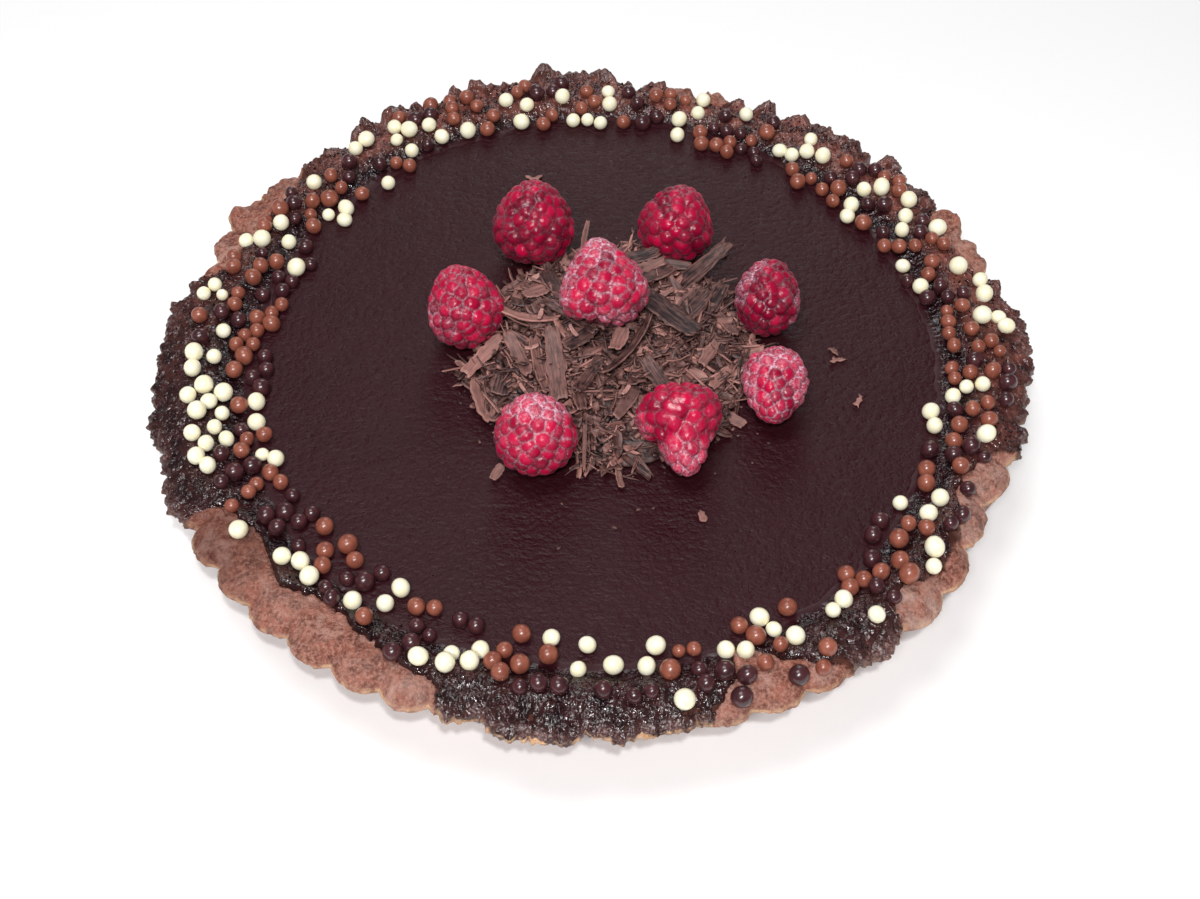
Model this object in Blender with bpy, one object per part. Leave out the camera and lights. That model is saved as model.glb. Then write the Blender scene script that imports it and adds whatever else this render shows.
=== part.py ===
"""A round chocolate tart: a fluted cocoa pastry case, a baked chocolate filling that has risen over
parts of the rim, a poured ganache top, a heap of chocolate shavings and eight raspberries.

The origin is at the middle of the flat base, +Z is up and -Y is the front. Lengths are in
millimetres here and are turned into metres where the meshes are made.
"""
import math

import bmesh
import bpy
from mathutils import Euler, Vector

MM = 0.001
OBJECT_NAME = "chocolate_tart"

# Plan of the tart
EDGE_RADIUS = 119.9        # mean radius of the rim's outer edge
WALL_RADIUS = 112.0        # outer wall, just under the lip
BASE_RADIUS = 101.5        # outer wall, at the base
FLUTES = 52
FIRST_FLUTE = 223.7        # degrees, where one flute meets the next
FACETS = FLUTES * 3
FACET = 360.0 / FACETS     # degrees
FLUTE_DEPTH = 2.4
WALL_FLUTE_DEPTH = 2.0
# Where the rim bulges or falls short: angle in degrees, height, width in degrees
RIM_BULGES = (
    (5, 2.5, 5), (71, -3, 11), (96, 4, 6), (130, -2.5, 6), (153, 1.5, 5), (162, -3.5, 4), (183, 1.5, 14),
    (332, -4.5, 10),
)
RIM_RIPPLES = ((11, 0.5, 0.4), (19, 0.5, 2.1), (31, 0.45, 4.0))   # waves a turn, height, phase

# Bare crust, not covered by the filling: first and last angle, then the inner radius between them
BARE_CRUST = (
    (14, 30, (113, 113, 112, 114)),
    (66, 78, (114, 111, 112, 114)),
    (138, 166, (112, 112, 112, 111, 107, 111)),
    (206, 252, (108, 104, 108, 105, 103, 104, 106, 108, 110, 114)),
    (285, 303, (110, 106, 103, 104, 110, 112, 113)),
    (313, 344, (110, 109, 109, 110, 110, 108, 105, 103, 105, 108)),
)
BARE_END = 2.3             # degrees over which the crust rises at the ends of a bare stretch
COVERED_INNER = 103.5      # top of the case's inner wall under the filling

# Heights
LIP_UNDER = 21.0
LIP_LOW = 23.2
LIP_TOP = (25.0, 26.4)     # under the filling, and where the crust is bare
CROWN = (26.0, 29.0)
INNER_TOP = (25.2, 28.0)
CROWN_PLACE = 0.4          # share of the way from the inner to the outer edge of the lip
BRIM_LIFT = 0.7            # where a stretch of brim ends
LIP_STEP = 2.8             # how far the case stays inside the filling that hangs over it
FLOOR_TOP = 5.0
FLOOR_RADIUS = 97.0
BRIM_LOW = 24.4            # lower and upper edge of the brim's side
BRIM_TOP = 26.4
FILLING_CREST = (30.2, 28.6)    # where it brims over, and inside the bare crust
CREST_RADIUS = 108.0
WALL_LINE = (25.6, 26.3, 26.8, 27.3, 27.8)    # rings of the filling on the wall of a bare stretch
RECESS_TOP = 27.2
RECESS_FLOOR = 22.7
GANACHE_RADIUS = 97.5
GANACHE_OVAL = 3.0
GANACHE_BOTTOM = 23.0
GANACHE_TOP = 27.0
GANACHE_EDGE = 0.6         # height of its rounded edge
GANACHE_FACETS = 52
GAP = 0.3                  # clearance between pieces that touch

# Shavings heap
HEAP_PLACE = (5.0, 0.0)
HEAP_RADIUS = 39.5
HEAP_HEIGHT = 11.0
HEAP_FACETS = 36
HEAP_FOOT = 1.2            # height of its steep edge
HEAP_LOBES = ((4, 1.2, 0.5), (9, 0.6, 0.0))      # waves a turn, height, phase
HEAP_BUMPS = ((7, 0.7, 9.0), (11, 0.5, -14.0))    # waves a turn, height, how far they swirl inwards
HEAP_RINGS = (0.86, 0.7, 0.52, 0.34, 0.16)        # shares of the outline's radius

# Raspberries: middle x and y, width, length, the tip's direction and lift in degrees, how much the
# tip narrows, and how high the berry sits in the heap
BERRIES = (
    ((-17.2, 40.4), 24.0, 25.2, 95, 70, 0.25, 0.0),
    ((23.7, 41.9), 22.2, 22.0, 70, 55, 0.35, 0.0),
    ((3.0, 7.3), 24.5, 24.6, 92, 32, 0.45, 8.0),
    ((-35.2, 8.2), 21.7, 23.6, 120, 50, 0.35, 0.0),
    ((48.4, 12.8), 18.6, 22.0, 85, 30, 0.15, 0.0),
    ((48.2, -18.6), 18.2, 22.8, 265, -5, 0.40, 0.0),
    ((22.6, -31.9), 23.4, 18.5, 278, -15, 0.30, 0.0),
    ((-14.6, -36.6), 22.2, 22.0, 100, 70, 0.20, 0.0),
)
TAIL_BERRY = 7             # the raspberry whose tip is drawn out into a tail
TAIL_LENGTH = 6.5
DRUPELETS_ROUND = 10
BERRY_SEGMENTS = 20
BERRY_RINGS = 12
DRUPELET_DEPTH = 0.09      # share of the radius
CUTTER_GROWTH = 0.45


def mix(low, high, share):
    """The value that lies share of the way from low to high."""
    return low + (high - low) * share


def clamp(value, low=0.0, high=1.0):
    return max(low, min(high, value))


def turn_between(angle, other):
    """The signed turn in degrees from one angle to another, from -180 to 180."""
    return (angle - other + 180.0) % 360.0 - 180.0


def flute_lobe(angle):
    """0 where two flutes meet and 1 on the middle of a flute."""
    return abs(math.sin(math.radians((angle - FIRST_FLUTE) * FLUTES / 2))) ** 0.7


def bareness(angle, widened=0.0):
    """0 where the filling covers the crust and 1 where it is bare, each bare stretch widened by so
    many degrees at both ends."""
    bare = 0.0
    for first, last, _ in BARE_CRUST:
        inside = min(angle % 360 - first, last - angle % 360) + widened
        bare = max(bare, clamp(inside / BARE_END))
    return bare


def filling_gone(angle):
    """1 where the filling stays inside the wall. It draws back a facet before the crust rises."""
    return bareness(angle, BARE_END + 1.05 * FACET)


def filling_lift(angle):
    """How far the brim's underside lifts off the lip, a facet before the filling draws back."""
    return BRIM_LIFT * bareness(angle, BARE_END + 2.1 * FACET)


def inner_radius(angle):
    """The top of the case's inner wall, which is the inner edge of its bare band."""
    for first, last, radii in BARE_CRUST:
        if first <= angle % 360 <= last:
            into = (angle % 360 - first) / (last - first) * (len(radii) - 1)
            step = min(int(into), len(radii) - 2)
            inner = mix(radii[step], radii[step + 1], into - step)
            return mix(COVERED_INNER, inner, bareness(angle))
    return COVERED_INNER


def edge_radius(angle):
    """The rim's uneven outer edge: clean flutes where the crust is bare and crumbs elsewhere."""
    radius = EDGE_RADIUS
    for place, height, width in RIM_BULGES:
        radius += height * math.exp(-(turn_between(angle, place) / width) ** 2)
    bare = bareness(angle)
    for waves, height, phase in RIM_RIPPLES:
        radius += (1 - bare) * height * math.sin(math.radians(angle) * waves + phase)
    return radius - mix(0.4, 1.0, bare) * FLUTE_DEPTH * (1 - flute_lobe(angle))


def ganache_radius(angle):
    """The edge of the poured top, a little longer from front to back."""
    turn = math.radians(angle)
    return GANACHE_RADIUS - GANACHE_OVAL * math.cos(2 * turn) + 0.6 * math.sin(5 * turn + 1.0)


def facet_angles(count):
    return [FIRST_FLUTE + 360.0 * step / count for step in range(count)]


def plan_centre():
    """The middle of the rim's box, which is moved onto the origin."""
    points = [polar(edge_radius(angle), angle) for angle in facet_angles(FACETS)]
    xs = [x for x, _ in points]
    ys = [y for _, y in points]
    return (min(xs) + max(xs)) / 2, (min(ys) + max(ys)) / 2


def polar(radius, angle):
    turn = math.radians(angle)
    return radius * math.cos(turn), radius * math.sin(turn)


CENTRE_X, CENTRE_Y = plan_centre()


def material(name, colour, roughness):
    made = bpy.data.materials.new(name)
    made.use_nodes = True
    shader = made.node_tree.nodes["Principled BSDF"]
    shader.inputs["Base Color"].default_value = (*colour, 1.0)
    shader.inputs["Roughness"].default_value = roughness
    shader.inputs["Metallic"].default_value = 0.0
    return made


def add_object(name, mesh, finish, group):
    made = bpy.data.objects.new(name, mesh)
    if finish:
        mesh.materials.append(finish)
    group.objects.link(made)
    return made


def loft(name, rings, bottom, top, angles, middle=(0.0, 0.0), split_back=False):
    """A closed mesh through rings of unlike outline, from a bottom centre out, up and in to a top centre.

    Each ring is a function that gives (radius, height) at an angle. split_back splits the quads along
    their other diagonal, so that two lofts that face each other are split alike and keep their gap.
    """
    shape = bmesh.new()
    shift_x = middle[0] - CENTRE_X
    shift_y = middle[1] - CENTRE_Y
    rows = []
    for ring in rings:
        row = []
        for angle in angles:
            radius, height = ring(angle)
            x, y = polar(radius, angle)
            row.append(shape.verts.new(((x + shift_x) * MM, (y + shift_y) * MM, height * MM)))
        rows.append(row)
    low = shape.verts.new((shift_x * MM, shift_y * MM, bottom * MM))
    high = shape.verts.new((shift_x * MM, shift_y * MM, top * MM))
    count = len(angles)
    for step in range(count):
        after = (step + 1) % count
        shape.faces.new((low, rows[0][after], rows[0][step]))
        shape.faces.new((high, rows[-1][step], rows[-1][after]))
        for under, over in zip(rows, rows[1:]):
            if split_back:
                shape.faces.new((under[step], under[after], over[step]))
                shape.faces.new((under[after], over[after], over[step]))
            else:
                shape.faces.new((under[step], under[after], over[after]))
                shape.faces.new((under[step], over[after], over[step]))
    mesh = bpy.data.meshes.new(name)
    shape.to_mesh(mesh)
    shape.free()
    return mesh


# The lip of the case, shared by the case and by the filling that lies on it

def lip_top(angle):
    bare = bareness(angle)
    return edge_radius(angle) - LIP_STEP * (1 - bare), mix(*LIP_TOP, bare)


def crown(angle):
    radius = mix(inner_radius(angle), lip_top(angle)[0], CROWN_PLACE)
    return radius, mix(*CROWN, bareness(angle))


def inner_top(angle):
    return inner_radius(angle), mix(*INNER_TOP, bareness(angle))


def pastry_case(group):
    """The fluted cocoa pastry: floor, wall and overhanging lip."""
    def base(angle):
        return BASE_RADIUS + WALL_FLUTE_DEPTH * flute_lobe(angle), 0.0

    def under_lip(angle):
        return WALL_RADIUS + WALL_FLUTE_DEPTH * flute_lobe(angle), LIP_UNDER

    def lip_low(angle):
        return lip_top(angle)[0] - 0.6, LIP_LOW

    def floor_edge(angle):
        return FLOOR_RADIUS, FLOOR_TOP

    rings = (base, under_lip, lip_low, lip_top, crown, inner_top, floor_edge)
    mesh = loft("pastry_case", rings, 0.0, FLOOR_TOP, facet_angles(FACETS))
    add_object("pastry_case", mesh, material("cocoa_pastry", (0.16, 0.075, 0.06), 0.85), group)


def baked_filling(group):
    """The baked filling: fills the case, brims over the lip where the crust is covered, and has a
    shallow recess on top."""
    def on_wall(angle, height):
        """A point just inside the case's inner wall."""
        inner, wall_top = inner_top(angle)
        rise = (height - FLOOR_TOP) / (wall_top - FLOOR_TOP)
        return mix(FLOOR_RADIUS, inner, rise) - 1.3 * GAP, height

    def ring(wall_height, brim):
        """A ring that lies on the inner wall where the crust is bare, and on the brim elsewhere."""
        def place(angle):
            gone = filling_gone(angle)
            inside = on_wall(angle, wall_height)
            outside = brim(angle)
            return mix(outside[0], inside[0], gone), mix(outside[1], inside[1], gone)
        return place

    def floor_edge(angle):
        return FLOOR_RADIUS - 2 * GAP, FLOOR_TOP + 1.2 * GAP

    def over(lip_ring, inward):
        def place(angle):
            radius, height = lip_ring(angle)
            return radius - inward, height + 1.5 * GAP + filling_lift(angle)
        return place

    def brim_low(angle):
        return edge_radius(angle) - 0.5, BRIM_LOW + 2 * filling_lift(angle)

    def brim_top(angle):
        return edge_radius(angle), BRIM_TOP + filling_lift(angle)

    def crest(angle):
        gone = filling_gone(angle)
        near_wall = mix(ganache_radius(angle), inner_radius(angle), 0.6)
        return mix(CREST_RADIUS, near_wall, gone), mix(*FILLING_CREST, gone)

    def recess_lip(angle):
        return ganache_radius(angle) + 2 * GAP, RECESS_TOP

    def recess_floor(angle):
        return ganache_radius(angle) + 1.5 * GAP, RECESS_FLOOR

    brims = (over(inner_top, GAP), over(crown, 0.0), over(lip_top, -0.2), brim_low, brim_top)
    wall_rings = tuple(ring(height, brim) for height, brim in zip(WALL_LINE, brims))
    rings = (floor_edge,) + wall_rings + (crest, recess_lip, recess_floor)
    mesh = loft("baked_filling", rings, FLOOR_TOP + 1.2 * GAP, RECESS_FLOOR, facet_angles(FACETS),
                split_back=True)
    add_object("baked_filling", mesh, material("baked_chocolate", (0.016, 0.008, 0.01), 0.45), group)


def ganache_top(group):
    """The smooth poured layer in the recess, with a rounded edge."""
    def bottom(angle):
        return ganache_radius(angle), GANACHE_BOTTOM

    def side(angle):
        return ganache_radius(angle), GANACHE_TOP - GANACHE_EDGE

    def edge(angle):
        return ganache_radius(angle) - 2 * GANACHE_EDGE, GANACHE_TOP

    mesh = loft("ganache_top", (bottom, side, edge), GANACHE_BOTTOM, GANACHE_TOP,
                facet_angles(GANACHE_FACETS))
    add_object("ganache_top", mesh, material("ganache", (0.028, 0.013, 0.014), 0.25), group)


def egg_radius(along, taper):
    """The radius of an egg at a place from -1, its base, to 1, its narrower tip."""
    return math.sqrt(max(0.0, 1 - along ** 2)) * (1 - taper * clamp(0.5 + 0.5 * along) ** 1.5)


def berry_mesh(name, number, growth=0.0, relief=True):
    """An egg-shaped raspberry with drupelets in staggered rows, or its plain envelope."""
    (x, y), width, length, heading, lift, taper, rest = BERRIES[number - 1]
    fullest = max(egg_radius(step / 50, taper) for step in range(-50, 51))
    shape = bmesh.new()
    bmesh.ops.create_uvsphere(shape, u_segments=BERRY_SEGMENTS, v_segments=BERRY_RINGS, radius=1.0)
    for vert in shape.verts:
        along = vert.co.z
        turn = math.atan2(vert.co.y, vert.co.x)
        row = round((math.acos(clamp(along, -1.0, 1.0)) / math.pi) * BERRY_RINGS)
        dimple = 0.0
        if relief and 0 < row < BERRY_RINGS:
            dimple = DRUPELET_DEPTH * (0.5 - 0.5 * math.cos(DRUPELETS_ROUND * turn + math.pi * row))
        radius = egg_radius(along, taper) / fullest * (width / 2 * (1 - dimple) + growth)
        reach = along * (length / 2 + growth)
        if number == TAIL_BERRY and along > 0.5:
            reach += TAIL_LENGTH * (along - 0.5) * 2
        vert.co = Vector((radius * math.cos(turn), radius * math.sin(turn), reach))
    tip_up = Euler((0.0, math.radians(90 - lift), math.radians(heading)), "XYZ").to_matrix().to_4x4()
    bmesh.ops.transform(shape, matrix=tip_up, verts=shape.verts)
    drop = GANACHE_TOP + GAP + rest - growth - min(vert.co.z for vert in shape.verts)
    for vert in shape.verts:
        vert.co += Vector((x - CENTRE_X, y - CENTRE_Y, drop))
        vert.co *= MM
    mesh = bpy.data.meshes.new(name)
    shape.to_mesh(mesh)
    shape.free()
    return mesh


def raspberries(group):
    finish = material("raspberry", (0.42, 0.012, 0.05), 0.4)
    for number in range(1, len(BERRIES) + 1):
        name = f"raspberry_{number}"
        add_object(name, berry_mesh(name, number), finish, group)


def shavings_heap(group, cutters):
    """The uneven mound of chocolate shavings, hollowed where the raspberries sit in it."""
    def outline(angle):
        radius = HEAP_RADIUS
        for waves, height, phase in HEAP_LOBES:
            radius += height * math.cos(math.radians(angle) * waves - phase)
        return radius

    bottom = GANACHE_TOP + GAP
    shoulder_height = bottom + HEAP_FOOT

    def ring(share):
        def place(angle):
            height = HEAP_HEIGHT * (1 - share ** 2) ** 0.8
            for waves, rise, swirl in HEAP_BUMPS:
                height += rise * share * math.sin(math.radians(angle) * waves + swirl * share)
            return outline(angle) * share, shoulder_height + height
        return place

    def foot(angle):
        return outline(angle), bottom

    def shoulder(angle):
        return outline(angle), shoulder_height

    rings = (foot, shoulder) + tuple(ring(share) for share in HEAP_RINGS)
    top = shoulder_height + HEAP_HEIGHT
    mesh = loft("shavings_heap", rings, bottom, top, facet_angles(HEAP_FACETS), HEAP_PLACE)
    heap = add_object("shavings_heap", mesh, material("shavings", (0.09, 0.055, 0.045), 0.7), group)
    for number in range(1, len(BERRIES) + 1):
        name = f"cutter_{number}"
        cutter = add_object(name, berry_mesh(name, number, CUTTER_GROWTH, relief=False), None, cutters)
        cutter.hide_render = True
        cutter.display_type = "WIRE"
        cut = heap.modifiers.new(f"room_{number}", "BOOLEAN")
        cut.operation = "DIFFERENCE"
        cut.solver = "EXACT"
        cut.object = cutter


def main():
    for old in list(bpy.data.objects):
        bpy.data.objects.remove(old, do_unlink=True)
    group = bpy.data.collections.new(OBJECT_NAME)
    cutters = bpy.data.collections.new("cutters")
    bpy.context.scene.collection.children.link(group)
    bpy.context.scene.collection.children.link(cutters)
    pastry_case(group)
    baked_filling(group)
    ganache_top(group)
    raspberries(group)
    shavings_heap(group, cutters)


main()
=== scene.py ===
"""A round chocolate tart on a pale floor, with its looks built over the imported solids.

Lengths are in millimetres and angles in degrees, and meshes are turned into metres as they are made.
"""
import math

import bmesh
import bpy
import numpy as np
from mathutils import Euler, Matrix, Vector, noise


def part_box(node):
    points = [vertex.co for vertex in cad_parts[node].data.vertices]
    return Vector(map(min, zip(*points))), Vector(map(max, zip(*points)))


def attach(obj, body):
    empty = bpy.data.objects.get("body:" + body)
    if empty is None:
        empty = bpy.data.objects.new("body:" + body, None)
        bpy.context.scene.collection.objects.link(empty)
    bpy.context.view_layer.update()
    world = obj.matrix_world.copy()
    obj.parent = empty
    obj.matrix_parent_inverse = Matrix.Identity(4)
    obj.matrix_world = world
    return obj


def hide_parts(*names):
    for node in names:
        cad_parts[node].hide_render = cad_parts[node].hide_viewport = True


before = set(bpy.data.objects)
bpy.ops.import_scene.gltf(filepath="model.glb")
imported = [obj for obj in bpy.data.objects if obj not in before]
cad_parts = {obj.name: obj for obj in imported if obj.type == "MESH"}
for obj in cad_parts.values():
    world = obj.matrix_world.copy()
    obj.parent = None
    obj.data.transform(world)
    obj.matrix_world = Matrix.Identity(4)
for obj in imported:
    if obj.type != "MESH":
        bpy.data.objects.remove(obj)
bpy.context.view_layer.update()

MM = 0.001
MIDDLE = np.array((-0.653, -1.460))    # the rim's own middle, from the origin

# Rim, close to the solids
EDGE_RADIUS = 119.9
WALL_RADIUS = 112.0
BASE_RADIUS = 101.5
FLUTES = 52
FIRST_FLUTE = 223.7
FLUTE_DEPTH = 2.4
WALL_FLUTE_DEPTH = 2.0
RIM_BULGES = (             # angle, height, width in degrees
    (5, 2.5, 5), (71, -3, 11), (96, 4, 6), (130, -2.5, 6), (153, 1.5, 5), (162, -3.5, 4), (183, 1.5, 14),
    (332, -4.5, 10),
)
RIM_RIPPLES = ((11, 0.5, 0.4), (19, 0.5, 2.1), (31, 0.45, 4.0))   # waves a turn, height, phase
RIM_TEETH = (              # lumps and notches on the edge: angle, height, width in degrees
    (13, 2.0, 1.0), (15.2, -1.5, 0.8), (17.5, 1.2, 1.3), (22, 2.4, 1.2), (27.5, 3.0, 2.2), (36, -1.4, 1.0),
    (41, 3.2, 1.6), (43.2, -3.5, 0.9), (47, 1.8, 1.2), (50.5, 0.8, 2.5), (57, 2.8, 1.4), (60, -2.2, 0.9),
    (62.5, 3.2, 1.4), (65, -1.8, 0.8), (67, 1.6, 1.0), (71, 4.0, 1.8), (73.5, -1.8, 1.0), (78, 1.6, 4.0),
    (83.3, -1.5, 0.9), (88.5, 3.2, 1.6), (92.5, 1.4, 2.0), (95, -1.2, 1.0), (97.8, 2.4, 1.6),
    (101, -1.5, 1.2), (105, 2.0, 1.6), (108, 3.6, 1.4), (112, 2.0, 1.6), (116, -2.8, 1.0), (118.5, 2.6, 1.3),
    (122, 4.6, 2.0), (127.5, 4.6, 1.9), (131.5, -1.8, 1.2), (135.5, 1.0, 2.0), (147.5, 1.6, 1.4),
    (152, 2.2, 1.6), (160.5, 1.8, 3.0), (168.5, -3.0, 1.4), (186, -0.8, 0.8), (346.3, 1.8, 0.8),
    (348.6, -1.8, 0.9), (350.3, 1.6, 0.8), (335, -1.6, 1.0), (266.5, 1.4, 0.7),
)
FLUTE_DRIFT = ((244, 257, 282, 300, 345), (0, 1.7, 4.0, 4.1, 0))   # angles, and degrees off even spacing
TOASTED = (                # angle, how much browner, width in degrees
    (22, 0.5, 8), (41, 0.35, 2), (71, 0.7, 4), (89, 0.7, 3), (97, 1.0, 1.5), (136, 0.5, 3), (152, 0.5, 10),
    (184, -0.7, 16), (268, -0.05, 18), (307, 0.4, 5), (325, 0.5, 14), (352, -0.3, 8),
)
FLOURED = (                # angle, how floury the bare crust is, width in degrees
    (226, 0.12, 8), (248, 0.26, 6), (286, 0.2, 6), (314, 0.55, 3.5), (331, 0.25, 5), (338, 0.2, 4),
)
GANACHE_COLOUR = "#310F16"
BARE_CRUST = (             # the filling's border on each bare stretch: pairs of angle and radius
    ((13.3, 121), (15, 116), (17, 112), (20, 112.5), (23, 113), (26, 112), (29, 113.5), (30.5, 120)),
    ((66.5, 121), (68, 115), (70, 111), (73, 111), (76, 112.5), (78.5, 116), (79.5, 121)),
    (
        (132.5, 123), (134, 117.5), (137, 117), (139, 118), (141, 114), (144, 111), (147, 112),
        (150, 111), (153, 109), (156, 108), (158, 110), (161, 109), (163, 111), (165, 115), (167, 121),
    ),
    (
        (208.2, 122), (208.8, 112), (209.5, 107), (212, 106), (215, 104), (218, 105), (220, 106),
        (223, 107), (225, 109), (226.5, 107.5), (229, 105), (232, 104.5), (235, 105), (237, 107),
        (240, 107), (243, 108), (245, 110), (248, 111), (250.5, 112), (251.5, 117), (253, 122),
    ),
    (
        (282, 124), (284, 118.5), (286, 113.5), (288, 109.5), (289.3, 102), (290.5, 100), (292, 103),
        (294, 106), (296, 109.5), (298, 112.5), (300, 115.5), (303, 119), (305, 124),
    ),
    (
        (310, 122), (311, 113), (312, 109.5), (314, 108.5), (316, 110), (317.5, 112), (320, 113),
        (323, 112.5), (326, 112), (328, 110), (330, 108.5), (332, 106), (334, 105), (337, 105.5),
        (339, 107), (341, 110), (342.5, 114), (343.5, 121),
    ),
)
LIP_UNDER = 21.0
LIP_MIDDLE = 24.8
LIP_ROUND = 1.5            # half the thickness of the lip's rounded edge
CRUST_INNER = 28.0         # bare crust: inner edge, crown and outer edge
CRUST_CROWN = 29.0
CRUST_OUTER = 26.3
CREST_RADIUS = 108.0
CREST = 30.0
BRIM = 26.8
GANACHE_TOP = 27.0
GANACHE_RADIUS = 97.5
GANACHE_OVAL = 3.0
RIM_COLUMNS = 1404         # points round the rim, 27 to a flute

# Shavings
HEAP_PLACE = np.array((5.0, 0.0)) + MIDDLE
HEAP_RADIUS = 39.5
HEAP_HEIGHT = 11.0
HEAP_FOOT = 1.2
HEAP_LOBES = ((4, 1.2, 0.5), (9, 0.6, 0.0))      # waves a turn, height, phase
CORE_DROP = 1.6            # how far the heap's core lies below its outline
# Planks and curls that stand out in the heap: middle x and y, height over the heap, length, width,
# heading, upward slope, sideways lean, bend and how pale
PLANKS = (
    (27.0, 22.5, 2.4, 31, 4.6, 46, 4, 12, 30, 0.10),
    (20.5, 1.5, 2.6, 19, 7.6, -42, -6, -8, 25, 0.02),
    (26.0, 7.5, 1.4, 17, 6.4, 57, -6, 10, 25, 0.12),
    (18.5, 29.0, 1.6, 18, 3.4, -5, -3, 25, 10, 0.14),
    (-18.0, 2.4, 2.2, 17, 4.2, -17, 5, -25, 45, 0.86),
    (-30.5, -6.5, 1.6, 16, 3.8, 53, 6, 20, 20, 0.80),
    (-10.5, -15.0, 2.2, 23, 5.4, -84, -12, 8, 24, 0.34),
    (-15.2, -14.5, 1.6, 18, 3.2, -76, -9, -20, 30, 0.44),
    (-20.5, -9.5, 1.2, 15, 3.6, -65, -6, 15, 40, 0.42),
    (-30.0, -20.0, 0.8, 16, 5.6, -72, -3, -15, 30, 0.66),
    (-25.0, -17.5, 1.2, 6.5, 6.2, 80, 4, 6, 5, 0.06),
    (-6.0, 0.5, 2.4, 18, 2.4, -42, 2, 40, 35, 0.10),
    (9.5, -11.0, 2.4, 23, 3.6, 236, -6, 35, 40, 0.10),
    (6.5, -8.0, 2.2, 7.5, 4.4, 70, 8, -10, 50, 0.60),
    (30.5, -8.5, 1.6, 9, 3.2, 60, 4, 20, 20, 0.55),
    (33.5, -15.0, 1.4, 9.5, 2.8, 55, -5, 15, 15, 0.70),
    (-2.8, -36.5, 2.2, 19, 1.1, 89, 4, 10, 8, 0.45),
    (-3.4, 41.5, 4.0, 11, 1.7, 78, 30, 30, 15, 0.50),
    (47.5, -2.4, 1.8, 14, 1.7, -5, 2, 20, 6, 0.42),
    (-12.5, 18.0, 1.8, 10, 5.2, 112, -5, 12, 15, 0.08),
    (-16.0, 14.0, 2.2, 8, 5.0, 20, 3, -10, 15, 0.60),
    (14.0, 24.0, 2.0, 12, 3.2, 22, 3, 15, 15, 0.50),
    (-4.0, -6.5, 1.8, 11, 5.0, 40, 3, 5, 20, 0.10),
    (-4.5, -24.0, 1.6, 12, 3.4, 100, -4, 12, 12, 0.30),
    (8.0, -27.0, 1.4, 12, 3.6, 62, -4, 12, 12, 0.34),
    (-25.5, -43.0, 1.2, 5, 2.6, 62, 4, 10, 30, 0.52),
    (6.2, -45.0, 1.2, 6.5, 1.8, 100, 3, 10, 40, 0.55),
    (-24.0, 20.5, 1.2, 12, 3.6, 38, 4, 20, 20, 0.40),
    (36.0, 4.0, 1.0, 10, 3.2, 118, -5, 10, 15, 0.38),
    (36.0, -24.0, 1.0, 9, 3.4, -35, -5, 10, 20, 0.50),
    (9.5, 27.5, 2.2, 17, 4.6, 12, 3, 10, 30, 0.06), (15.0, 18.5, 2.0, 15, 5.0, 28, -4, -12, 30, 0.16),
    (33.0, 13.5, 1.4, 14, 4.8, 66, -6, 12, 30, 0.08), (16.0, -18.0, 1.6, 13, 4.4, 118, 4, -10, 30, 0.12),
    (-2.0, -19.0, 1.6, 14, 3.6, 64, -5, 14, 40, 0.10), (-27.0, 8.0, 1.4, 13, 4.0, 32, 5, -14, 40, 0.16),
    (-17.0, 22.0, 2.0, 4.0, 1.3, 30, 10, 5, 50, 1.5), (-15.0, 2.0, 3.2, 4.4, 1.2, 80, -10, 5, 60, 1.45),
    (-6.0, -5.0, 2.8, 4.2, 1.1, 120, 8, 10, 45, 1.5), (-17.0, -9.0, 2.8, 3.8, 1.2, 10, 8, -10, 50, 1.4),
    (8.0, -24.0, 2.4, 4.0, 1.1, 60, -8, 10, 50, 1.45),
)
STRAYS = 6                 # flakes that fell on the ganache, away from the heap
STRAY_REACH = (58.0, 86.0)

# Raspberries: width, length, tip direction, tip lift, taper; then how ripe, how thick the frost lies
# in the grooves, its thicker patches (heading, lift, reach), skin rubbed smooth (the same) and dents
# (heading, lift, depth, width)
BERRIES = (
    (24.0, 25.2, 95, 70, 0.36, -0.30, 0.16, ((60, 10, 0.16),), (), ()),
    (22.2, 22.0, 70, 55, 0.35, -0.24, 0.15, ((20, -20, 0.14),), ((226, 30, 0.10),), ()),
    (24.5, 24.6, 100, 32, 0.58, 0.02, 0.56, ((180, 5, 0.42), (275, -32, 0.36), (0, 0, 0.30), (100, 60, 0.3)),
     (), ((257, -34, 4.6, 0.05),)),
    (21.7, 23.6, 120, 50, 0.35, 0.00, 0.42, ((215, -5, 0.16),), (), ()),
    (18.6, 22.0, 85, 30, 0.15, -0.42, 0.20, ((150, 22, 0.46), (350, -5, 0.26)), ((270, 58, 0.10),), ()),
    (18.2, 22.8, 265, -5, 0.40, 0.02, 0.50, ((90, 42, 0.52), (185, 0, 0.34), (0, 12, 0.40)), (), ()),
    (23.4, 18.5, 278, -15, 0.30, 0.02, 0.22, ((196, -5, 0.22), (282, -28, 0.30), (60, 20, 0.16)),
     ((245, 58, 0.10),), ((232, -24, 3.6, 0.05), (318, -28, 1.6, 0.05))),
    (22.2, 22.0, 100, 70, 0.20, 0.02, 0.52, ((85, 48, 0.62),), (), ()),
)
TAIL_BERRY = 7
TAIL_LENGTH = 6.5
BERRY_ROWS = 84
BERRY_COLUMNS = 126
DRUPELET = 3.85            # spacing of the drupelets

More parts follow.
